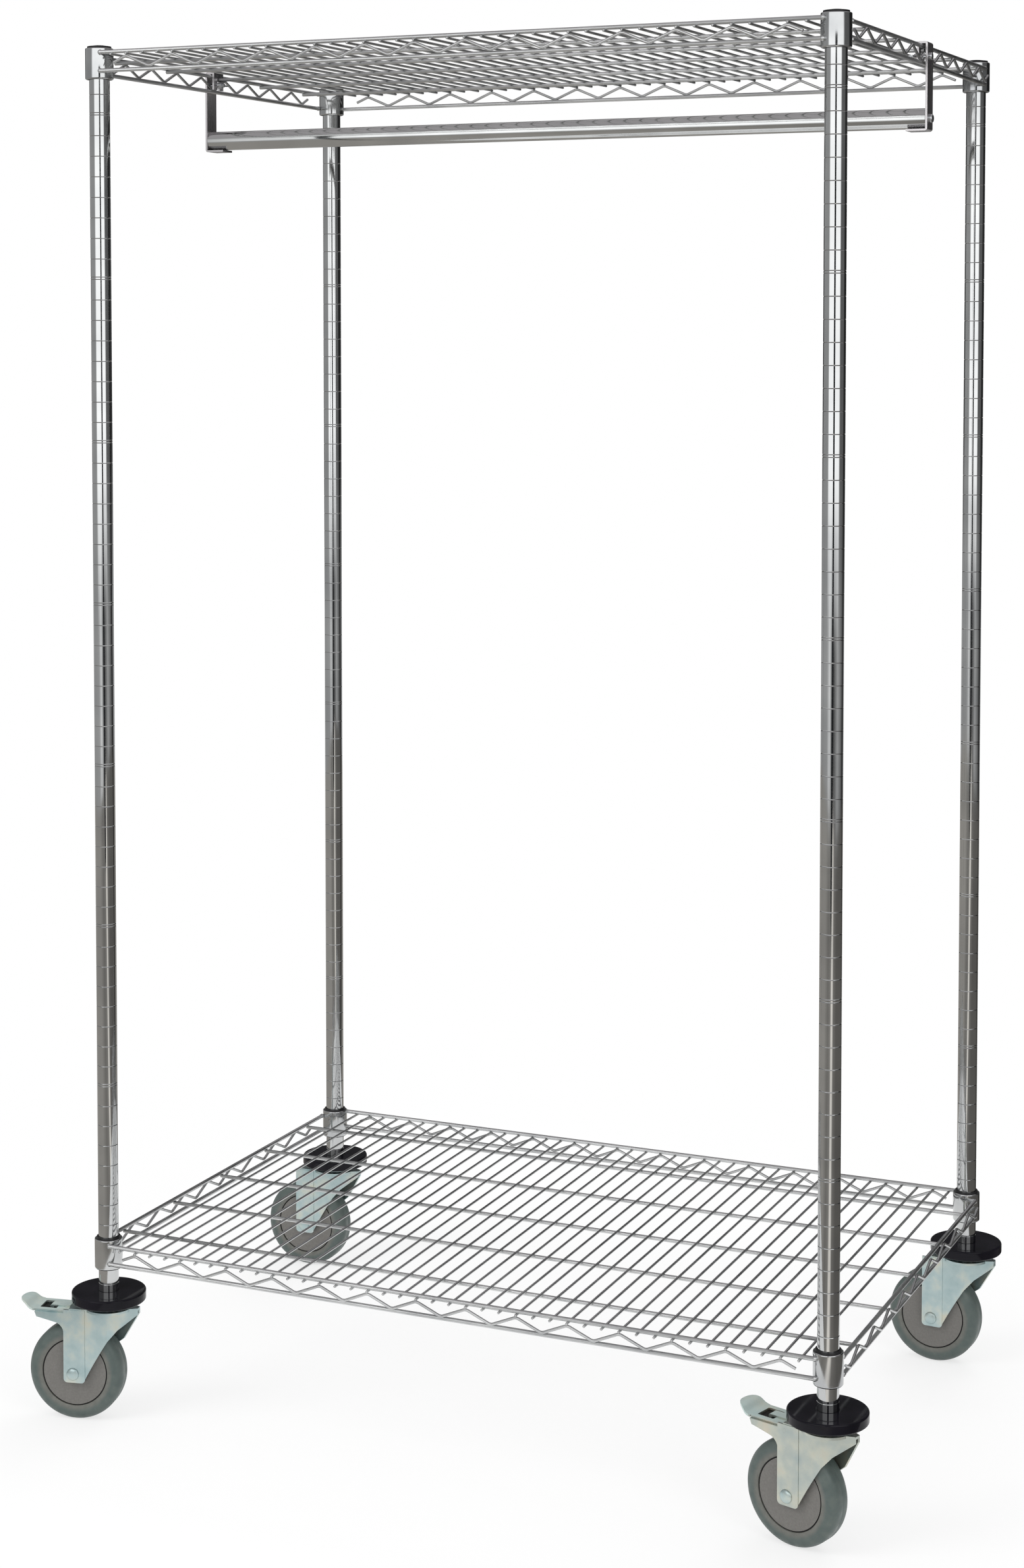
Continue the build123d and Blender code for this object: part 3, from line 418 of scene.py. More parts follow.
hub = Finish("hub_plastic", (0.155, 0.150, 0.135), 0.0, 0.5)
hub.colour(
    hub.pattern(420.0, (1, 1, 1), 6.0),
    [(0.30, (0.142, 0.136, 0.126)), (0.52, (0.158, 0.152, 0.141)), (0.72, (0.174, 0.168, 0.156))],
)
hub.roughness(hub.pattern(150.0), 0.46, 0.58)
hub.bump(hub.pattern(2400.0, (1, 1, 1), 4.0), 0.22, 0.05)
hub_plastic = hub.made

# Near-black paint standing in for shade: painted shade in the gap round each hub and under each brake
# pedal's window.
ring = Finish("painted_shade_black", (0.006, 0.006, 0.006), 0.0, 0.6)
ring.colour(ring.pattern(90.0), [(0.3, (0.004, 0.004, 0.004)), (0.7, (0.010, 0.010, 0.010))])
painted_shade_black = ring.made

rubber = Finish("tyre_rubber", (0.085, 0.110, 0.100), 0.0, 0.5)
worn = rubber.ramp(
    rubber.pattern(90.0, (1, 1, 1), 5.0),
    [(0.30, (0.070, 0.094, 0.088)), (0.55, (0.086, 0.110, 0.102)), (0.75, (0.104, 0.126, 0.114))],
)
warm = rubber.ramp(
    rubber.pattern(160.0, (1, 1, 1), 5.0),
    [(0.30, (0.120, 0.124, 0.110)), (0.70, (0.158, 0.158, 0.142))],
)
band = rubber.node("Attribute")
band.attribute_name = "band"
mix = rubber.node("Mix")
mix.data_type = "RGBA"
rubber.join(band.outputs["Fac"], mix.inputs["Factor"])
rubber.join(worn, mix.inputs["A"])
rubber.join(warm, mix.inputs["B"])
rubber.join(mix.outputs["Result"], rubber.shader.inputs["Base Color"])
rubber.roughness(rubber.pattern(110.0, (1, 1, 1), 3.0), 0.36, 0.56)
rubber.bump(rubber.pattern(1100.0, (1, 1, 1), 4.0), 0.30, 0.06)
tyre_rubber = rubber.made


# ---- posts ----


def ring_post():
    """Steel tube with a rolled ring every inch, every eighth one paired, standing on the origin."""
    radius, wall, length = 12.7, 1.2, 1566.5
    pitch, first, rings_to_pair, pair_gap = 25.4, 9.7, 8, 3.0
    paired, modules = 2, 8
    half, depth = 0.6, 0.36
    inner_half, inner_depth = 0.2, 0.28
    heights = [first + index * pitch for index in range(rings_to_pair)]
    heights.insert(paired + 1, heights[paired] + pair_gap)
    start = first - pitch / 4
    outline = [(radius, start)]
    for height in heights:
        outline += [
            (radius, height - half),
            (radius - inner_depth, height - inner_half),
            (radius - depth, height),
            (radius - inner_depth, height + inner_half),
            (radius, height + half),
        ]
    outline.append((radius, start + pitch * rings_to_pair))
    module = turned("post", outline, 56)
    repeated(module, modules, (0, 0, pitch * rings_to_pair * MM), True)
    near = 0.02 * MM
    choose(module, "VERT", lambda at: True)
    bpy.ops.mesh.bisect(plane_co=(0, 0, length * MM), plane_no=(0, 0, 1), clear_outer=True)
    choose(module, "VERT", lambda at: abs(at.z - length * MM) < near)
    bpy.ops.mesh.extrude_region_move(TRANSFORM_OT_translate={"value": (0, 0, 0)})
    inset = (radius - wall) / radius
    bpy.ops.transform.resize(value=(inset, inset, 1), center_override=(0, 0, length * MM))
    bpy.ops.mesh.extrude_region_move(TRANSFORM_OT_translate={"value": (0, 0, -length * MM)})
    choose(module, "VERT", lambda at: abs(at.z - start * MM) < near)
    bpy.ops.mesh.extrude_region_move(TRANSFORM_OT_translate={"value": (0, 0, -start * MM)})
    choose(module, "VERT", lambda at: abs(at.z) < near)
    bpy.ops.mesh.select_mode(type="EDGE")
    bpy.ops.mesh.bridge_edge_loops()
    bpy.ops.mesh.select_all(action="SELECT")
    bpy.ops.mesh.normals_make_consistent(inside=False)
    put_down()
    return smoothed(module, 20)


GROOVE_FACES = (12.0 * MM, 12.45 * MM)  # how far from the post's middle a groove's faces lie
LEVEL = 0.99  # a face is level when the height of its normal is above this
post_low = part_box("post_front_left")[0].z
middles = {}
for corner in CORNERS:
    low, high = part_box(f"post_{corner}")
    middles[corner] = ((low.x + high.x) / 2, (low.y + high.y) / 2)

post = ring_post()
for corner in CORNERS:
    x, y = middles[corner]
    made = copied(post, f"ringed_post_{corner}", (x, y, post_low))
    fitted(made, "rack", [f"post_{corner}"], "chrome_posts", post_chrome, groove_shade)
    for face in made.data.polygons:
        across = math.hypot(face.center.x - x, face.center.y - y)
        level = abs(face.normal.z) > LEVEL
        if GROOVE_FACES[0] < across < GROOVE_FACES[1] and not level:
            face.material_index = 1
bpy.data.objects.remove(post)


def at_posts(piece, name, height):
    """The same round piece on all four posts, as one."""
    made = [copied(piece, f"{name}_{corner}", (*middles[corner], height)) for corner in CORNERS]
    bpy.data.objects.remove(piece)
    return joined(name, made)


low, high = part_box("post_caps")
plug_depth, dome_radius, dome_foot, dome_rise = 14.0, 12.2, 1.0, 2.1
outline = [(0, -plug_depth), (11.45, -plug_depth), (11.45, 0)]
outline += [(12.5, 0.05), (12.7, 0.25), (12.7, 0.6), (12.45, 0.9)]
for angle in (8, 22, 38, 54, 70, 82):
    turn = math.radians(angle)
    outline.append((dome_radius * math.cos(turn), dome_foot + dome_rise * math.sin(turn)))
outline.append((0, 3.1))
cap = turned("cap", outline, 48)
caps = at_posts(smoothed(cap, 40), "domed_caps", low.z + plug_depth * MM)
fitted(caps, "rack", ["post_caps"], "black_plastic", black_plastic)


# ---- shelves ----

WELD_BALL = 3.2  # radius of a weld ball
TRUSS_WIRE = 2.6  # radius of a truss's straight wires, and then of the other kinds
SNAKE_WIRE = 1.8
DECK_WIRE = 1.6
SUPPORT_WIRE = 2.4
SNAKE_OFFSET = 3.3  # from a straight frame wire's middle to the snake wire's
SNAKE_BEND = 3.2  # how far from its corner a snake wire starts to bend
LONG_PEAKS = 14
LONG_PITCH = 849.4 / 13
LONG_PEAK_DROP = 6.0  # from the top wire's middle to a snake's peak
VALLEY_RISE = 2.985  # from the bottom wire's middle to a snake's valley
SIDE_PEAKS = {"left": 8, "right": 9}
SIDE_PITCH = 63.0
SIDE_PEAK_DROP = 5.385
DECK_WIRES = 42
SUPPORT_WIRES = 5


def truss_wire(name, half_length, spot, along):
    """A straight frame wire with the balls that weld it to the collars."""
    ball = WELD_BALL
    neck = math.asin(TRUSS_WIRE / ball)
    outer_turns = (0, 0.35, 0.7, 1.05, 1.4, math.pi / 2)
    inner_turns = (0.25, 0.45)
    end = [(ball * math.sin(turn), -ball * math.cos(turn)) for turn in outer_turns]
    end += [(ball * math.cos(turn), ball * math.sin(turn)) for turn in inner_turns]
    end += [(TRUSS_WIRE, ball * math.cos(neck))]
    outline = [(r, h - half_length) for r, h in end]
    outline += [(r, half_length - h) for r, h in reversed(end)]
    made = turned(name, outline, 20)
    turn = (0, math.radians(90), 0) if along == "x" else (math.radians(-90), 0, 0)
    return smoothed(settle(made, spot, turn), 50)


def snake(peaks, pitch, peak, valley, edge_valleys):
    """(along, height) of a zigzag wire, in millimetres, with heights below the top wire negative."""
    stub_share = 0.55
    first = -(peaks - 1) / 2 * pitch
    points = []
    for index in range(peaks):
        points += [(first + index * pitch, -peak), (first + (index + 0.5) * pitch, -valley)]
    points.pop()
    stub = stub_share * pitch / 2
    fall = stub_share * (valley - peak)
    if edge_valleys:
        last = -first + pitch / 2
        points = [(-last, -valley)] + points + [(last, -valley)]
        return [(-last - stub, fall - valley)] + points + [(last + stub, fall - valley)]
    last = -first
    return [(-last - stub, -peak - fall)] + points + [(last + stub, -peak - fall)]


def truss(name, parts, points):
    """The straight wires of one side of a shelf, with the snake wire bent through the points."""
    snake_wire = bent_wire("snake", points, SNAKE_WIRE, SNAKE_BEND)
    return joined(name, parts + [snake_wire])


for shelf in ("lower", "upper"):
    node = f"{shelf}_shelf"
    low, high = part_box(f"{node}_front_truss")
    top = high.z - WELD_BALL * MM
    bottom = low.z + WELD_BALL * MM
    drop = (top - bottom) / MM

    for side in ("front", "rear"):
        low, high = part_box(f"{node}_{side}_truss")
        sign = -1 if side == "front" else 1
        y = low.y + WELD_BALL * MM if side == "rear" else high.y - WELD_BALL * MM
        half = high.x / MM - WELD_BALL
        parts = [
            truss_wire("top", half, (0, y, top), "x"),
            truss_wire("bottom", half, (0, y, bottom), "x"),
        ]
        zigzag = snake(LONG_PEAKS, LONG_PITCH, LONG_PEAK_DROP, drop - VALLEY_RISE, False)
        snake_y = y / MM + sign * SNAKE_OFFSET
        points = [(along, snake_y, top / MM + height) for along, height in zigzag]
        made = truss(f"{node}_{side}_wires", parts, points)
        fitted(made, "rack", [f"{node}_{side}_truss"], "chrome_wire", wire_chrome)

    for side in ("left", "right"):
        low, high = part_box(f"{node}_{side}_truss")
        sign = -1 if side == "left" else 1
        x = low.x + WELD_BALL * MM if side == "right" else high.x - WELD_BALL * MM
        half = high.y / MM - WELD_BALL
        parts = [
            truss_wire("top", half, (x, 0, high.z - WELD_BALL * MM), "y"),
            truss_wire("bottom", half, (x, 0, bottom), "y"),
        ]
        zigzag = snake(SIDE_PEAKS[side], SIDE_PITCH, SIDE_PEAK_DROP, drop - VALLEY_RISE, True)
        snake_x = x / MM + sign * SNAKE_OFFSET
        points = [(snake_x, along, top / MM + height) for along, height in zigzag]
        made = truss(f"{node}_{side}_wires", parts, points)
        fitted(made, "rack", [f"{node}_{side}_truss"], "chrome_wire", wire_chrome)

    low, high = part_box(f"{node}_deck_wires")
    span = (high.x - low.x - 2 * DECK_WIRE * MM) / (DECK_WIRES - 1)
    half = high.y / MM
    rod = [(0, -half), (0.9, -half + 0.12), (1.35, -half + 0.5), (DECK_WIRE, -half + 1.1)]
    rod += [(DECK_WIRE, half - 1.1), (1.35, half - 0.5), (0.9, half - 0.12), (0, half)]
    wire = turned(f"{node}_deck", rod, 14)
    settle(wire, (low.x + DECK_WIRE * MM, 0, (low.z + high.z) / 2), (math.radians(90), 0, 0))
    smoothed(repeated(wire, DECK_WIRES, (span, 0, 0)), 50)
    fitted(wire, "rack", [f"{node}_deck_wires"], "chrome_wire", wire_chrome)

    low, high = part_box(f"{node}_support_wires")
    half = high.x / MM
    span = (high.y - low.y - 2 * SUPPORT_WIRE * MM) / (SUPPORT_WIRES - 1)
    rod = [(0, -half), (1.9, -half + 0.1), (SUPPORT_WIRE, -half + 0.6)]
    rod += [(SUPPORT_WIRE, half - 0.6), (1.9, half - 0.1), (0, half)]
    wire = turned(f"{node}_supports", rod, 18)
    settle(wire, (0, low.y + SUPPORT_WIRE * MM, (low.z + high.z) / 2), (0, math.radians(90), 0))
    smoothed(repeated(wire, SUPPORT_WIRES, (0, span, 0)), 50)
    fitted(wire, "rack", [f"{node}_support_wires"], "chrome_wire", wire_chrome)

    low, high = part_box(f"{node}_collars")
    tall = (high.z - low.z) / MM
    outline = [(15.65, 0), (15.9, 0), (16.5, 0.25), (17.1, 0.75), (17.4, 1.4), (17.5, 2.2)]
    outline += [(17.5, tall - 1.2), (17.35, tall - 0.5), (16.9, tall - 0.1)]
    outline += [(15.3, tall), (15.05, tall), (15.65, 0)]
    collar = smoothed(turned("collar", outline, 64), 40)
    made = at_posts(collar, f"{node}_rings", low.z)
    fitted(made, "rack", [f"{node}_collars"], "chrome_collars", collar_chrome)

    low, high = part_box(f"{node}_sleeves")
    tall = (high.z - low.z) / MM
    outline = [(12.75, 0), (15.55, 0), (14.95, tall - 0.4), (14.7, tall)]
    outline += [(12.9, tall), (12.75, tall - 0.2), (12.75, 0)]
    sleeve = smoothed(turned("sleeve", outline, 64), 40)
    made = at_posts(sleeve, f"{node}_split_sleeves", low.z)
    fitted(made, "rack", [f"{node}_sleeves"], "black_plastic", black_plastic)


# ---- hanging bar ----

low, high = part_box("hanging_bar")
half = high.x / MM
height = (low.z + high.z) / 2
inner, outer, edge = 11.3, 12.5, 0.3
outline = [(inner, -half), (12.2, -half), (outer, -half + edge)]
outline += [(outer, half - edge), (12.2, half), (inner, half), (inner, -half)]
bar = settle(turned("hanging_tube", outline, 64), (0, 0, height), (0, math.radians(90), 0))
smoothed(bar, 40)
fitted(bar, "rack", ["hanging_bar"], "chrome_bar", bar_chrome)

for side in ("left", "right"):
    strap = eased_copy(f"hooked_strap_{side}", f"bar_strap_{side}", 0.35)
    strap.data.materials.clear()
    fitted(strap, "rack", [f"bar_strap_{side}"], "strap_steel", strap_chrome)


# ---- casters ----

low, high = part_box("caster_bumpers")
tall = (high.z - low.z) / MM
stem_hole, flat_reach, rim_round, top_sink = 5.6, 44.8, 2.2, 0.25
arc = []
for angle in (0, 18, 36, 54, 72, 90):
    turn = math.radians(angle)
    arc.append((flat_reach + rim_round * math.sin(turn), rim_round - rim_round * math.cos(turn)))
outline = [(stem_hole, 0)] + arc + [(r, tall - h) for r, h in reversed(arc)]
outline += [(14.2, tall), (13.6, tall - top_sink), (stem_hole, tall - top_sink), (stem_hole, 0)]
bumper = levelled(smoothed(turned("bumper", outline, 96), 40))
made = at_posts(bumper, "round_bumpers", low.z)
fitted(made, "rack", ["caster_bumpers"], "bumper_rubber", bumper_rubber)

low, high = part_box("caster_race_cups")
tall = (high.z - low.z) / MM
cup_floor = 2.2
outline = [(stem_hole, cup_floor), (25.0, cup_floor), (25.0, 0), (26.6, 0), (27.0, 0.4)]
outline += [(27.0, tall - 1.4), (26.5, tall - 0.4), (25.6, tall)]
outline += [(stem_hole, tall), (stem_hole, cup_floor)]
cup = smoothed(turned("cup", outline, 64), 40)
made = at_posts(cup, "race_cups", low.z)
fitted(made, "rack", ["caster_race_cups"], "zinc_steel", zinc_plate)


def tyre_shape():
    """Solid tyre with rounded shoulders, its axle upright."""
    seat, seat_half, bend_middle, bend_height, bend_radius = 43.15, 14.2, 51, 6, 11
    near = [(seat, seat_half), (43.2, 15.6), (43.9, 16.0), (46.5, 16.25), (49.0, 16.7), (51.0, 17.0)]
    for angle in (12, 24, 36, 48, 60, 72, 84):
        turn = math.radians(angle)
        reach = bend_middle + bend_radius * math.sin(turn)
        near.append((reach, bend_height + bend_radius * math.cos(turn)))
    near += [(WHEEL_RADIUS, 5.2), (WHEEL_RADIUS, 0.45)]
    seam = (61.86, 0)
    outline = [(r, -h) for r, h in near] + [seam] + [(r, h) for r, h in reversed(near)]
    return smoothed(turned("tyre", outline + [(seat, -seat_half)], 112), 40)


def hub_shape():
    """Flat wheel centre with the thin gap round it."""
    bore, bore_half = 8.1, 14.7
    near = [(bore, bore_half), (41.5, 14.9), (41.75, 14.6), (41.8, 13.6), (43.05, 13.6)]
    outline = [(r, -h) for r, h in near] + [(r, h) for r, h in reversed(near)]
    return smoothed(turned("hub", outline + [(bore, -bore_half)], 96), 30)


def axle_shape():
    """Domed axle bolt with its nut, standing upright with its head down."""
    seat, nut_end, edge = 22.9, 29.9, 0.5
    head, head_rim, head_rise = 8.0, 0.3, 2.8
    shank, shank_end, tip, tip_end = 5.0, 30.9, 4.5, 31.4
    outline = []
    for angle in range(0, 91, 15):
        turn = math.radians(angle)
        outline.append((head * math.sin(turn), -seat - head_rim - head_rise * math.cos(turn)))
    outline += [(head, -seat), (shank, -seat), (shank, shank_end), (tip, tip_end), (0, tip_end)]
    bolt = smoothed(turned("bolt", outline, 40), 40)
    hole, flat, across = 5.9, 8.7, 9.2
    outline = [(hole, seat), (flat, seat), (across, seat + edge)]
    outline += [(across, nut_end - edge), (flat, nut_end), (hole, nut_end), (hole, seat)]
    return joined("axle", [bolt, turned("nut", outline, 6)])


def window_shade_plate():
    """Thin black plate of painted shade that shows through a brake pedal's window, out along X from the
    post.
    """
    across, thick, out, height = 31, 1.2, 77.2, 137.3
    put_down()
    bpy.ops.mesh.primitive_plane_add(size=across * MM, location=(out * MM, 0, height * MM))
    plate = bpy.context.object
    bpy.ops.object.transform_apply(location=True)
    bpy.ops.object.mode_set(mode="EDIT")
    bpy.ops.mesh.select_all(action="SELECT")
    bpy.ops.mesh.extrude_region_move(TRANSFORM_OT_translate={"value": (0, 0, thick * MM)})
    bpy.ops.mesh.select_all(action="SELECT")
    bpy.ops.mesh.normals_make_consistent(inside=False)
    put_down()
    return softened(plate, 0.3)


def from_axle(point, spot, heading):
    """How far a point on a wheel is from its axle line, in millimetres."""
    away = math.dist(point, spot) / MM
    across = abs((point.x - spot[0]) * math.sin(heading) - (point.y - spot[1]) * math.cos(heading)) / MM
    return math.sqrt(max(away**2 - across**2, 0))


WARM_BAND = 50.5  # how far from the axle a tyre's paler inner band ends
BAND_FADE = 4.5  # and over how much of that it fades
HUB_EDGE = 41.6  # how far from the axle the gap round the hub begins, whose faces are painted black as shade
PAD_START = 94.5  # how far from the post a brake pedal's pad begins
PAD_FACING, PLATE_FACING = -0.2, 0.6  # a pedal's face gets the paler zinc when its normal rises above this: partly the pad's own finish, partly painted light from above
tyre = tyre_shape()
hub_disc = hub_shape()
axle = axle_shape()
painted_shade_plate = window_shade_plate()
for corner in CORNERS:
    low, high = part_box(f"wheel_tyre_{corner}")
    middle = (low + high) / 2
    x, y = middles[corner]
    heading = math.atan2(middle.y - y, middle.x - x)
    spot = (middle.x, middle.y, WHEEL_RADIUS * MM)
    upright = (math.radians(90), 0, heading)
    made = copied(tyre, f"round_tyre_{corner}", spot, upright)
    shade = made.data.attributes.new("band", "FLOAT", "POINT")
    for point in made.data.vertices:
        reach = from_axle(point.co, spot, heading)
        shade.data[point.index].value = min(max((WARM_BAND - reach) / BAND_FADE, 0), 1)
    fitted(made, f"wheel_{corner}", [f"wheel_tyre_{corner}"], "tyre_rubber", tyre_rubber)

    made = copied(hub_disc, f"hub_disc_{corner}", spot, upright)
    fitted(made, f"wheel_{corner}", [f"wheel_hub_{corner}"], "hub_plastic", hub_plastic, painted_shade_black)
    # The faces of the gap round the hub are painted black: painted shade in the recess.
    for face in made.data.polygons:
        if from_axle(face.center, spot, heading) > HUB_EDGE:
            face.material_index = 1

    made = copied(axle, f"domed_axle_{corner}", spot, upright)
    fitted(made, f"swivel_{corner}", [f"axle_bolt_{corner}"], "fastener_steel", zinc_plate)

    plate = warm_zinc if corner == "front_right" else zinc_plate
    fork = eased_copy(f"pressed_fork_{corner}", f"caster_fork_{corner}", 0.7)
    fork.data.materials.clear()
    fitted(fork, f"swivel_{corner}", [f"caster_fork_{corner}"], "zinc_steel", plate)
    if corner in BRAKED:
        pedal = eased_copy(f"brake_plate_{corner}", f"brake_pedal_{corner}", 0.5)
        pedal.data.materials.clear()
        pedal.data.materials.append(plate)
        pedal.data.materials.append(pad_zinc_painted_lit)
        # Faces that point upward get the paler zinc: painted light from above, besides the pad's own
        # finish.
        for face in pedal.data.polygons:
            away = (face.center.x - x) * math.cos(heading) + (face.center.y - y) * math.sin(heading)
            facing = PAD_FACING if away > PAD_START * MM else PLATE_FACING
            face.material_index = 1 if face.normal.z > facing else 0
        # A black sheet of painted shade, seen through the pedal's window where there is only shade.
        dark = copied(painted_shade_plate, "painted_shade_plate", (x, y, 0), (0, 0, heading))
        dark.data.materials.append(painted_shade_black)
        pedal = joined(f"brake_plate_{corner}", [pedal, dark])
        fitted(pedal, f"brake_{corner}", [f"brake_pedal_{corner}"], "zinc_steel")
for master in (tyre, hub_disc, axle, painted_shade_plate):
    bpy.data.objects.remove(master)


# ---- the CAD pieces that stay ----

CARRIED = {
    "post_sockets": black_plastic,
    "bar_end_plugs": black_plastic,
    "bar_screws": bolt_steel,
    "strap_clamp_bolts": bolt_steel,
    "strap_wing_nuts": bolt_steel,
    "caster_stems": zinc_plate,
}
for corner in CORNERS:
    CARRIED[f"caster_balls_{corner}"] = bolt_steel
    CARRIED[f"wheel_bushes_{corner}"] = bolt_steel
for corner in BRAKED:
    CARRIED[f"brake_pivot_{corner}"] = warm_zinc if corner == "front_right" else zinc_plate
for node, finish in CARRIED.items():
    carried = frame["nodes"][node]
    carried.data.materials.clear()
    carried.data.materials.append(finish)


# ---- studio ----


STUDIO_SIDES = 96  # flat sides of the round wall, floor and ceiling
WALL_RADIUS = 5  # in metres, as are all sizes in the studio
WALL_HEIGHT = 4.6


def area_lamp(name, spot, aim, size, power):
    """A soft lamp that lights the rack and isn't mirrored in it."""
    lamp = bpy.data.lights.new(name, "AREA")
    lamp.shape = "RECTANGLE"
    lamp.size, lamp.size_y = size
    lamp.energy = power
    made = bpy.data.objects.new(name, lamp)
    bpy.context.scene.collection.objects.link(made)
    made.location = spot
    look = type(made.location)(aim) - made.location
    made.rotation_euler = look.to_track_quat("-Z", "Y").to_euler()
    made.visible_glossy = False
    return made


def seen_directly(tree):
    """1 where the camera, metal or glass looks at a surface, 0 where it only lights others."""
    path = tree.nodes.new("ShaderNodeLightPath")
    seen = path.outputs["Is Camera Ray"]
    for ray in ("Is Glossy Ray", "Is Transmission Ray"):
        either = tree.nodes.new("ShaderNodeMath")
        either.operation = "MAXIMUM"
        tree.links.new(seen, either.inputs[0])
        tree.links.new(path.outputs[ray], either.inputs[1])
        seen = either.outputs[0]
    return seen


def studio_air(strength):
    """Soft light from all round, with white behind the rack."""
    world = bpy.data.worlds.new("studio_air")
    bpy.context.scene.world = world
    world.use_nodes = True
    tree = world.node_tree
    tree.nodes.clear()
    soft = tree.nodes.new("ShaderNodeBackground")
    soft.inputs["Color"].default_value = (1, 1, 1, 1)
    soft.inputs["Strength"].default_value = strength
    white = tree.nodes.new("ShaderNodeBackground")
    white.inputs["Color"].default_value = (1, 1, 1, 1)
    both = tree.nodes.new("ShaderNodeMixShader")
    tree.links.new(seen_directly(tree), both.inputs["Fac"])
    tree.links.new(soft.outputs[0], both.inputs[1])
    tree.links.new(white.outputs[0], both.inputs[2])
    out = tree.nodes.new("ShaderNodeOutputWorld")
    tree.links.new(both.outputs[0], out.inputs["Surface"])


def studio_disc(name, radius, height=0):
    """A round level sheet at a height above the floor."""
    put_down()
    bpy.ops.mesh.primitive_circle_add(
        vertices=STUDIO_SIDES, radius=radius, fill_type="NGON", location=(0, 0, height)
    )
    made = bpy.context.object
    made.name = name
    bpy.ops.object.transform_apply(location=True)
    return made


def studio_floor():
    """White floor that keeps the shadow near the wheels and fades into the white behind."""
    radius, fade_start, fade_end, least_white = 14, 0.7, 1.8, 0.7
    floor = studio_disc("studio_floor", radius)
    paint = bpy.data.materials.new("floor_paint")
    paint.use_nodes = True
    tree = paint.node_tree
    tree.nodes.clear()
    where = tree.nodes.new("ShaderNodeTexCoord")
    far = tree.nodes.new("ShaderNodeVectorMath")
    far.operation = "LENGTH"
    tree.links.new(where.outputs["Object"], far.inputs[0])
    fade = tree.nodes.new("ShaderNodeMapRange")
    fade.inputs["From Min"].default_value = fade_start
    fade.inputs["From Max"].default_value = fade_end
    fade.inputs["To Min"].default_value = least_white
    fade.inputs["To Max"].default_value = 1.0
    tree.links.new(far.outputs["Value"], fade.inputs["Value"])
    share = tree.nodes.new("ShaderNodeMath")
    share.operation = "MULTIPLY"
    tree.links.new(seen_directly(tree), share.inputs[0])
    tree.links.new(fade.outputs["Result"], share.inputs[1])
    matt = tree.nodes.new("ShaderNodeBsdfDiffuse")
    matt.inputs["Color"].default_value = (0.95, 0.95, 0.95, 1)
    glow = tree.nodes.new("ShaderNodeEmission")
    both = tree.nodes.new("ShaderNodeMixShader")
    tree.links.new(share.outputs[0], both.inputs["Fac"])
    tree.links.new(matt.outputs[0], both.inputs[1])
    tree.links.new(glow.outputs[0], both.inputs[2])
    out = tree.nodes.new("ShaderNodeOutputMaterial")
    tree.links.new(both.outputs[0], out.inputs["Surface"])
    floor.data.materials.append(paint)


def grey_ramp(tree, where, boards, tint=(1, 1, 1)):
    """Greys round the studio, each at its compass angle in degrees."""
    round_about = tree.nodes.new("ShaderNodeTexGradient")
    round_about.gradient_type = "RADIAL"
    tree.links.new(where.outputs["Object"], round_about.inputs["Vector"])
    ramp = tree.nodes.new("ShaderNodeValToRGB")
    elements = ramp.color_ramp.elements
    while len(elements) < len(boards):
        elements.new(0.5)
    for element, (angle, grey) in zip(elements, boards):
        element.position = angle / 360 + 0.5
        element.color = (*[grey * share for share in tint], 1)
    tree.links.new(round_about.outputs["Fac"], ramp.inputs["Fac"])
    return ramp.outputs["Color"]


def mirrored_only(piece):
    """A backdrop that shows in metal and gives no light."""
    piece.visible_camera = False
    piece.visible_diffuse = False
    piece.visible_transmission = False
    piece.visible_shadow = False


def glowing(piece, name, sampled=False):
    """Give a piece paint that only glows; returns the paint's shader tree and its glow.

    Only sampled paint may be picked out as a source of light.
    """
    paint = bpy.data.materials.new(name)
    paint.use_nodes = True
    if not sampled:
        paint.cycles.emission_sampling = "NONE"
    tree = paint.node_tree
    tree.nodes.clear()
    glow = tree.nodes.new("ShaderNodeEmission")
    out = tree.nodes.new("ShaderNodeOutputMaterial")
    tree.links.new(glow.outputs[0], out.inputs["Surface"])
    piece.data.materials.append(paint)
    return tree, glow


def studio_walls():
    """Round wall of light and dark boards for the chrome to mirror, under a grey ceiling."""
    low_boards_end, high_boards_start = 0.5, 1.0
    put_down()
    bpy.ops.mesh.primitive_cylinder_add(
        vertices=STUDIO_SIDES,
        radius=WALL_RADIUS,
        depth=WALL_HEIGHT,
        end_fill_type="NOTHING",
        location=(0, 0, WALL_HEIGHT / 2),
    )
    wall = bpy.context.object
    wall.name = "studio_wall"
    bpy.ops.object.transform_apply(location=True)
    mirrored_only(wall)
    tree, glow = glowing(wall, "wall_boards")
    where = tree.nodes.new("ShaderNodeTexCoord")
    split = tree.nodes.new("ShaderNodeSeparateXYZ")
    tree.links.new(where.outputs["Object"], split.inputs["Vector"])
    rise = tree.nodes.new("ShaderNodeMapRange")
    rise.inputs["From Min"].default_value = low_boards_end
    rise.inputs["From Max"].default_value = high_boards_start
    tree.links.new(split.outputs["Z"], rise.inputs["Value"])
    mix = tree.nodes.new("ShaderNodeMix")
    mix.data_type = "RGBA"
    tree.links.new(rise.outputs["Result"], mix.inputs["Factor"])
    tree.links.new(grey_ramp(tree, where, LOW_BOARDS), mix.inputs["A"])
    tree.links.new(grey_ramp(tree, where, HIGH_BOARDS), mix.inputs["B"])
    tree.links.new(mix.outputs["Result"], glow.inputs["Color"])
    glow.inputs["Strength"].default_value = WALL_STRENGTH

    ceiling = studio_disc("studio_ceiling", WALL_RADIUS, WALL_HEIGHT)
    mirrored_only(ceiling)
    glow = glowing(ceiling, "ceiling_paint")[1]
    glow.inputs["Color"].default_value = (0.46, 0.44, 0.45, 1)


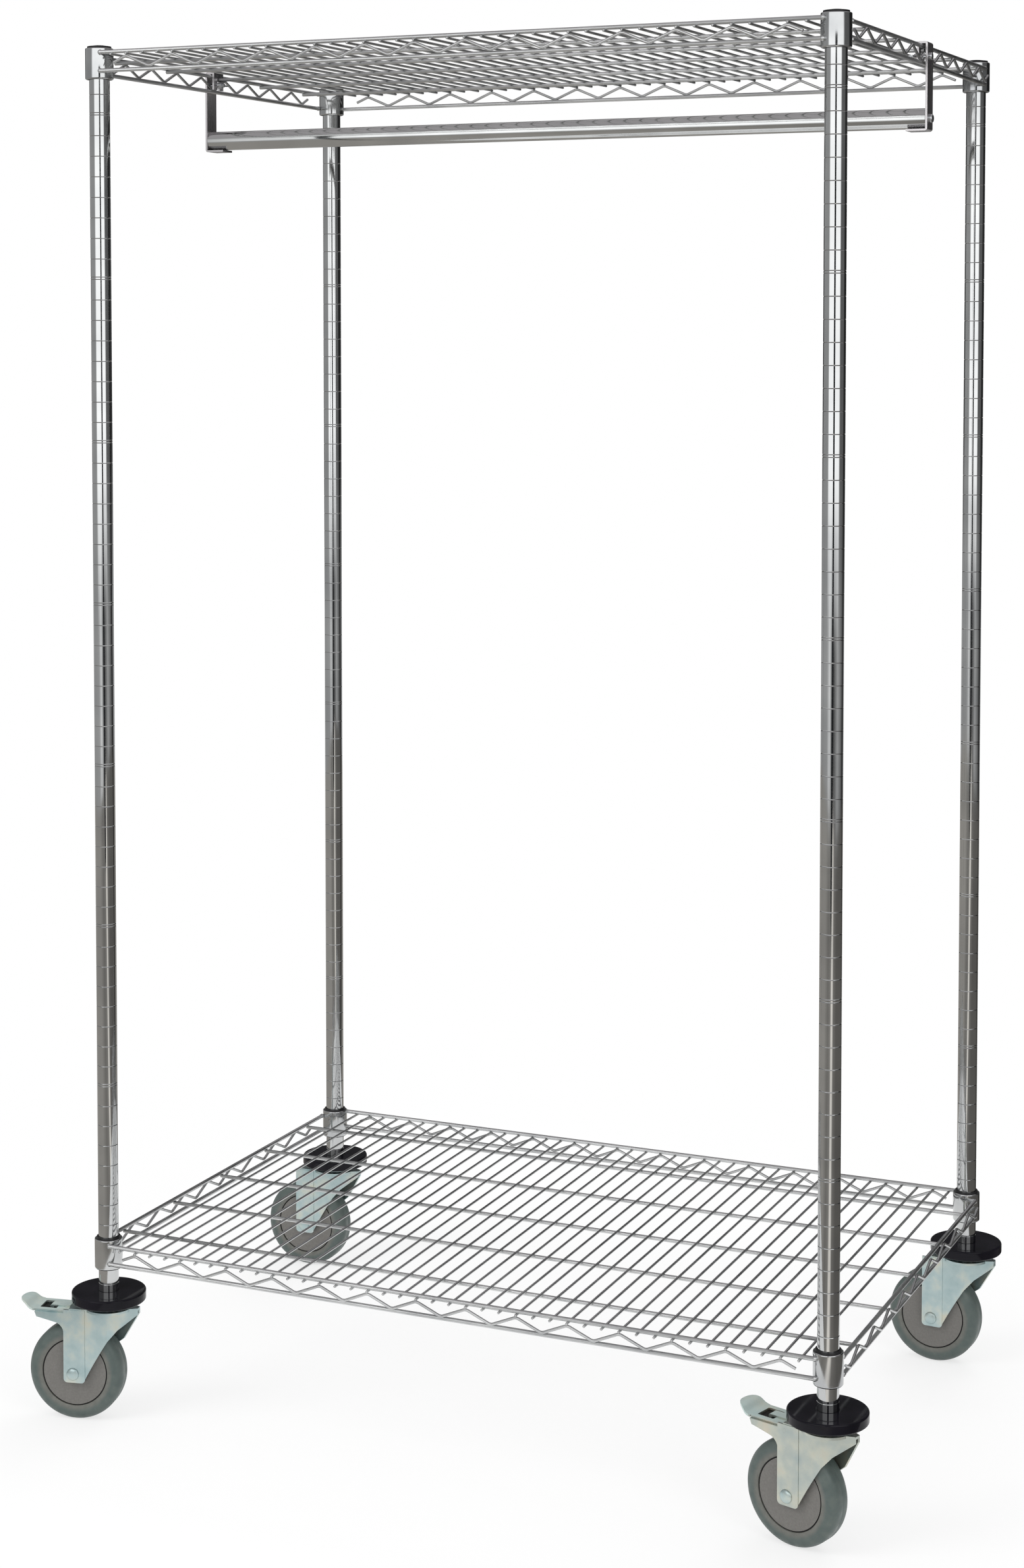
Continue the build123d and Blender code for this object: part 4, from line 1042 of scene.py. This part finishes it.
def mirrored_floor():
    """Ring on the floor, greyer or whiter by its compass angle, for the feet of the posts to mirror."""
    width, lift = 4.1, 0.0005
    ring_floor = studio_disc("mirrored_floor", WALL_RADIUS)
    bpy.ops.object.mode_set(mode="EDIT")
    bpy.ops.mesh.select_all(action="SELECT")
    bpy.ops.mesh.inset(thickness=width)
    bpy.ops.mesh.delete(type="FACE")
    bpy.ops.mesh.select_all(action="SELECT")
    bpy.ops.transform.translate(value=(0, 0, lift))
    put_down()
    mirrored_only(ring_floor)
    tree, glow = glowing(ring_floor, "floor_boards")
    where = tree.nodes.new("ShaderNodeTexCoord")
    tree.links.new(grey_ramp(tree, where, FLOOR_BOARDS, FLOOR_TINT), glow.inputs["Color"])


def mirrored_figure():
    """Dark upright shape behind the camera, mirrored as a thin line down the middle of each post."""
    x, y = CAMERA_SPOT[:2]
    wide, tall, back = 0.9, 2.05, 1.05
    put_down()
    bpy.ops.mesh.primitive_plane_add(
        size=1, location=(x * back, y * back, tall / 2), rotation=(math.radians(90), 0, math.atan2(x, -y))
    )
    figure = bpy.context.object
    figure.name = "mirrored_figure"
    figure.scale = (wide, tall, 1)
    bpy.ops.object.transform_apply(location=True, rotation=True, scale=True)
    mirrored_only(figure)
    glow = glowing(figure, "figure_paint", sampled=True)[1]
    glow.inputs["Color"].default_value = (0.02, 0.022, 0.024, 1)


CAMERA_SPOT = (1.3643, -3.2065, 1.3852)
CAMERA_TILT = 2.979  # degrees below level
CAMERA_HEADING = 23.832  # degrees round from looking along Y
WALL_STRENGTH = 1.7
FLOOR_TINT = (1.05, 1.0, 0.93)
FLOOR_BOARDS = (
    (-180, 0.37),
    (-122, 0.37),
    (-90, 0.23),
    (-68, 0.30),
    (-60, 0.98),
    (-53, 0.98),
    (-44, 0.24),
    (-20, 0.15),
    (38, 0.14),
    (45, 0.05),
    (58, 0.05),
    (78, 0.34),
    (180, 0.37),
)
LOW_BOARDS = (
    (-180, 0.24),
    (-120, 0.27),
    (-94, 0.55),
    (-72, 0.07),
    (-60, 0.03),
    (-42, 0.14),
    (-21, 0.29),
    (24, 0.09),
    (40, 0.015),
    (56, 0.03),
    (80, 0.30),
    (180, 0.24),
)
HIGH_BOARDS = (
    (-180, 0.24),
    (-128, 0.24),
    (-118, 0.95),
    (-24, 0.95),
    (-14, 0.10),
    (24, 0.09),
    (32, 0.015),
    (62, 0.015),
    (80, 0.05),
    (150, 0.05),
    (165, 0.24),
    (180, 0.24),
)
area_lamp("key_lamp", (-2.6, -3.4, 3.6), (0, 0, 0.8), (2.4, 2.4), 90)
area_lamp("fill_lamp", (3.4, -2.4, 2.6), (0, 0, 0.7), (2.0, 2.6), 40)
area_lamp("back_lamp", (0.5, 3.6, 3.8), (0, 0, 1.0), (3.0, 2.0), 50)
studio_air(0.72)
studio_floor()
studio_walls()
mirrored_floor()
mirrored_figure()

camera_data = bpy.data.cameras.new("studio_camera")
camera_data.sensor_width = 36
camera_data.lens = 62.35
camera_data.shift_y = -0.20
camera_data.clip_end = 60
camera = bpy.data.objects.new("studio_camera", camera_data)
bpy.context.scene.collection.objects.link(camera)
camera.location = CAMERA_SPOT
camera.rotation_euler = (math.radians(90 - CAMERA_TILT), 0, math.radians(CAMERA_HEADING))
bpy.context.scene.camera = camera
bpy.context.scene.view_settings.view_transform = "Standard"
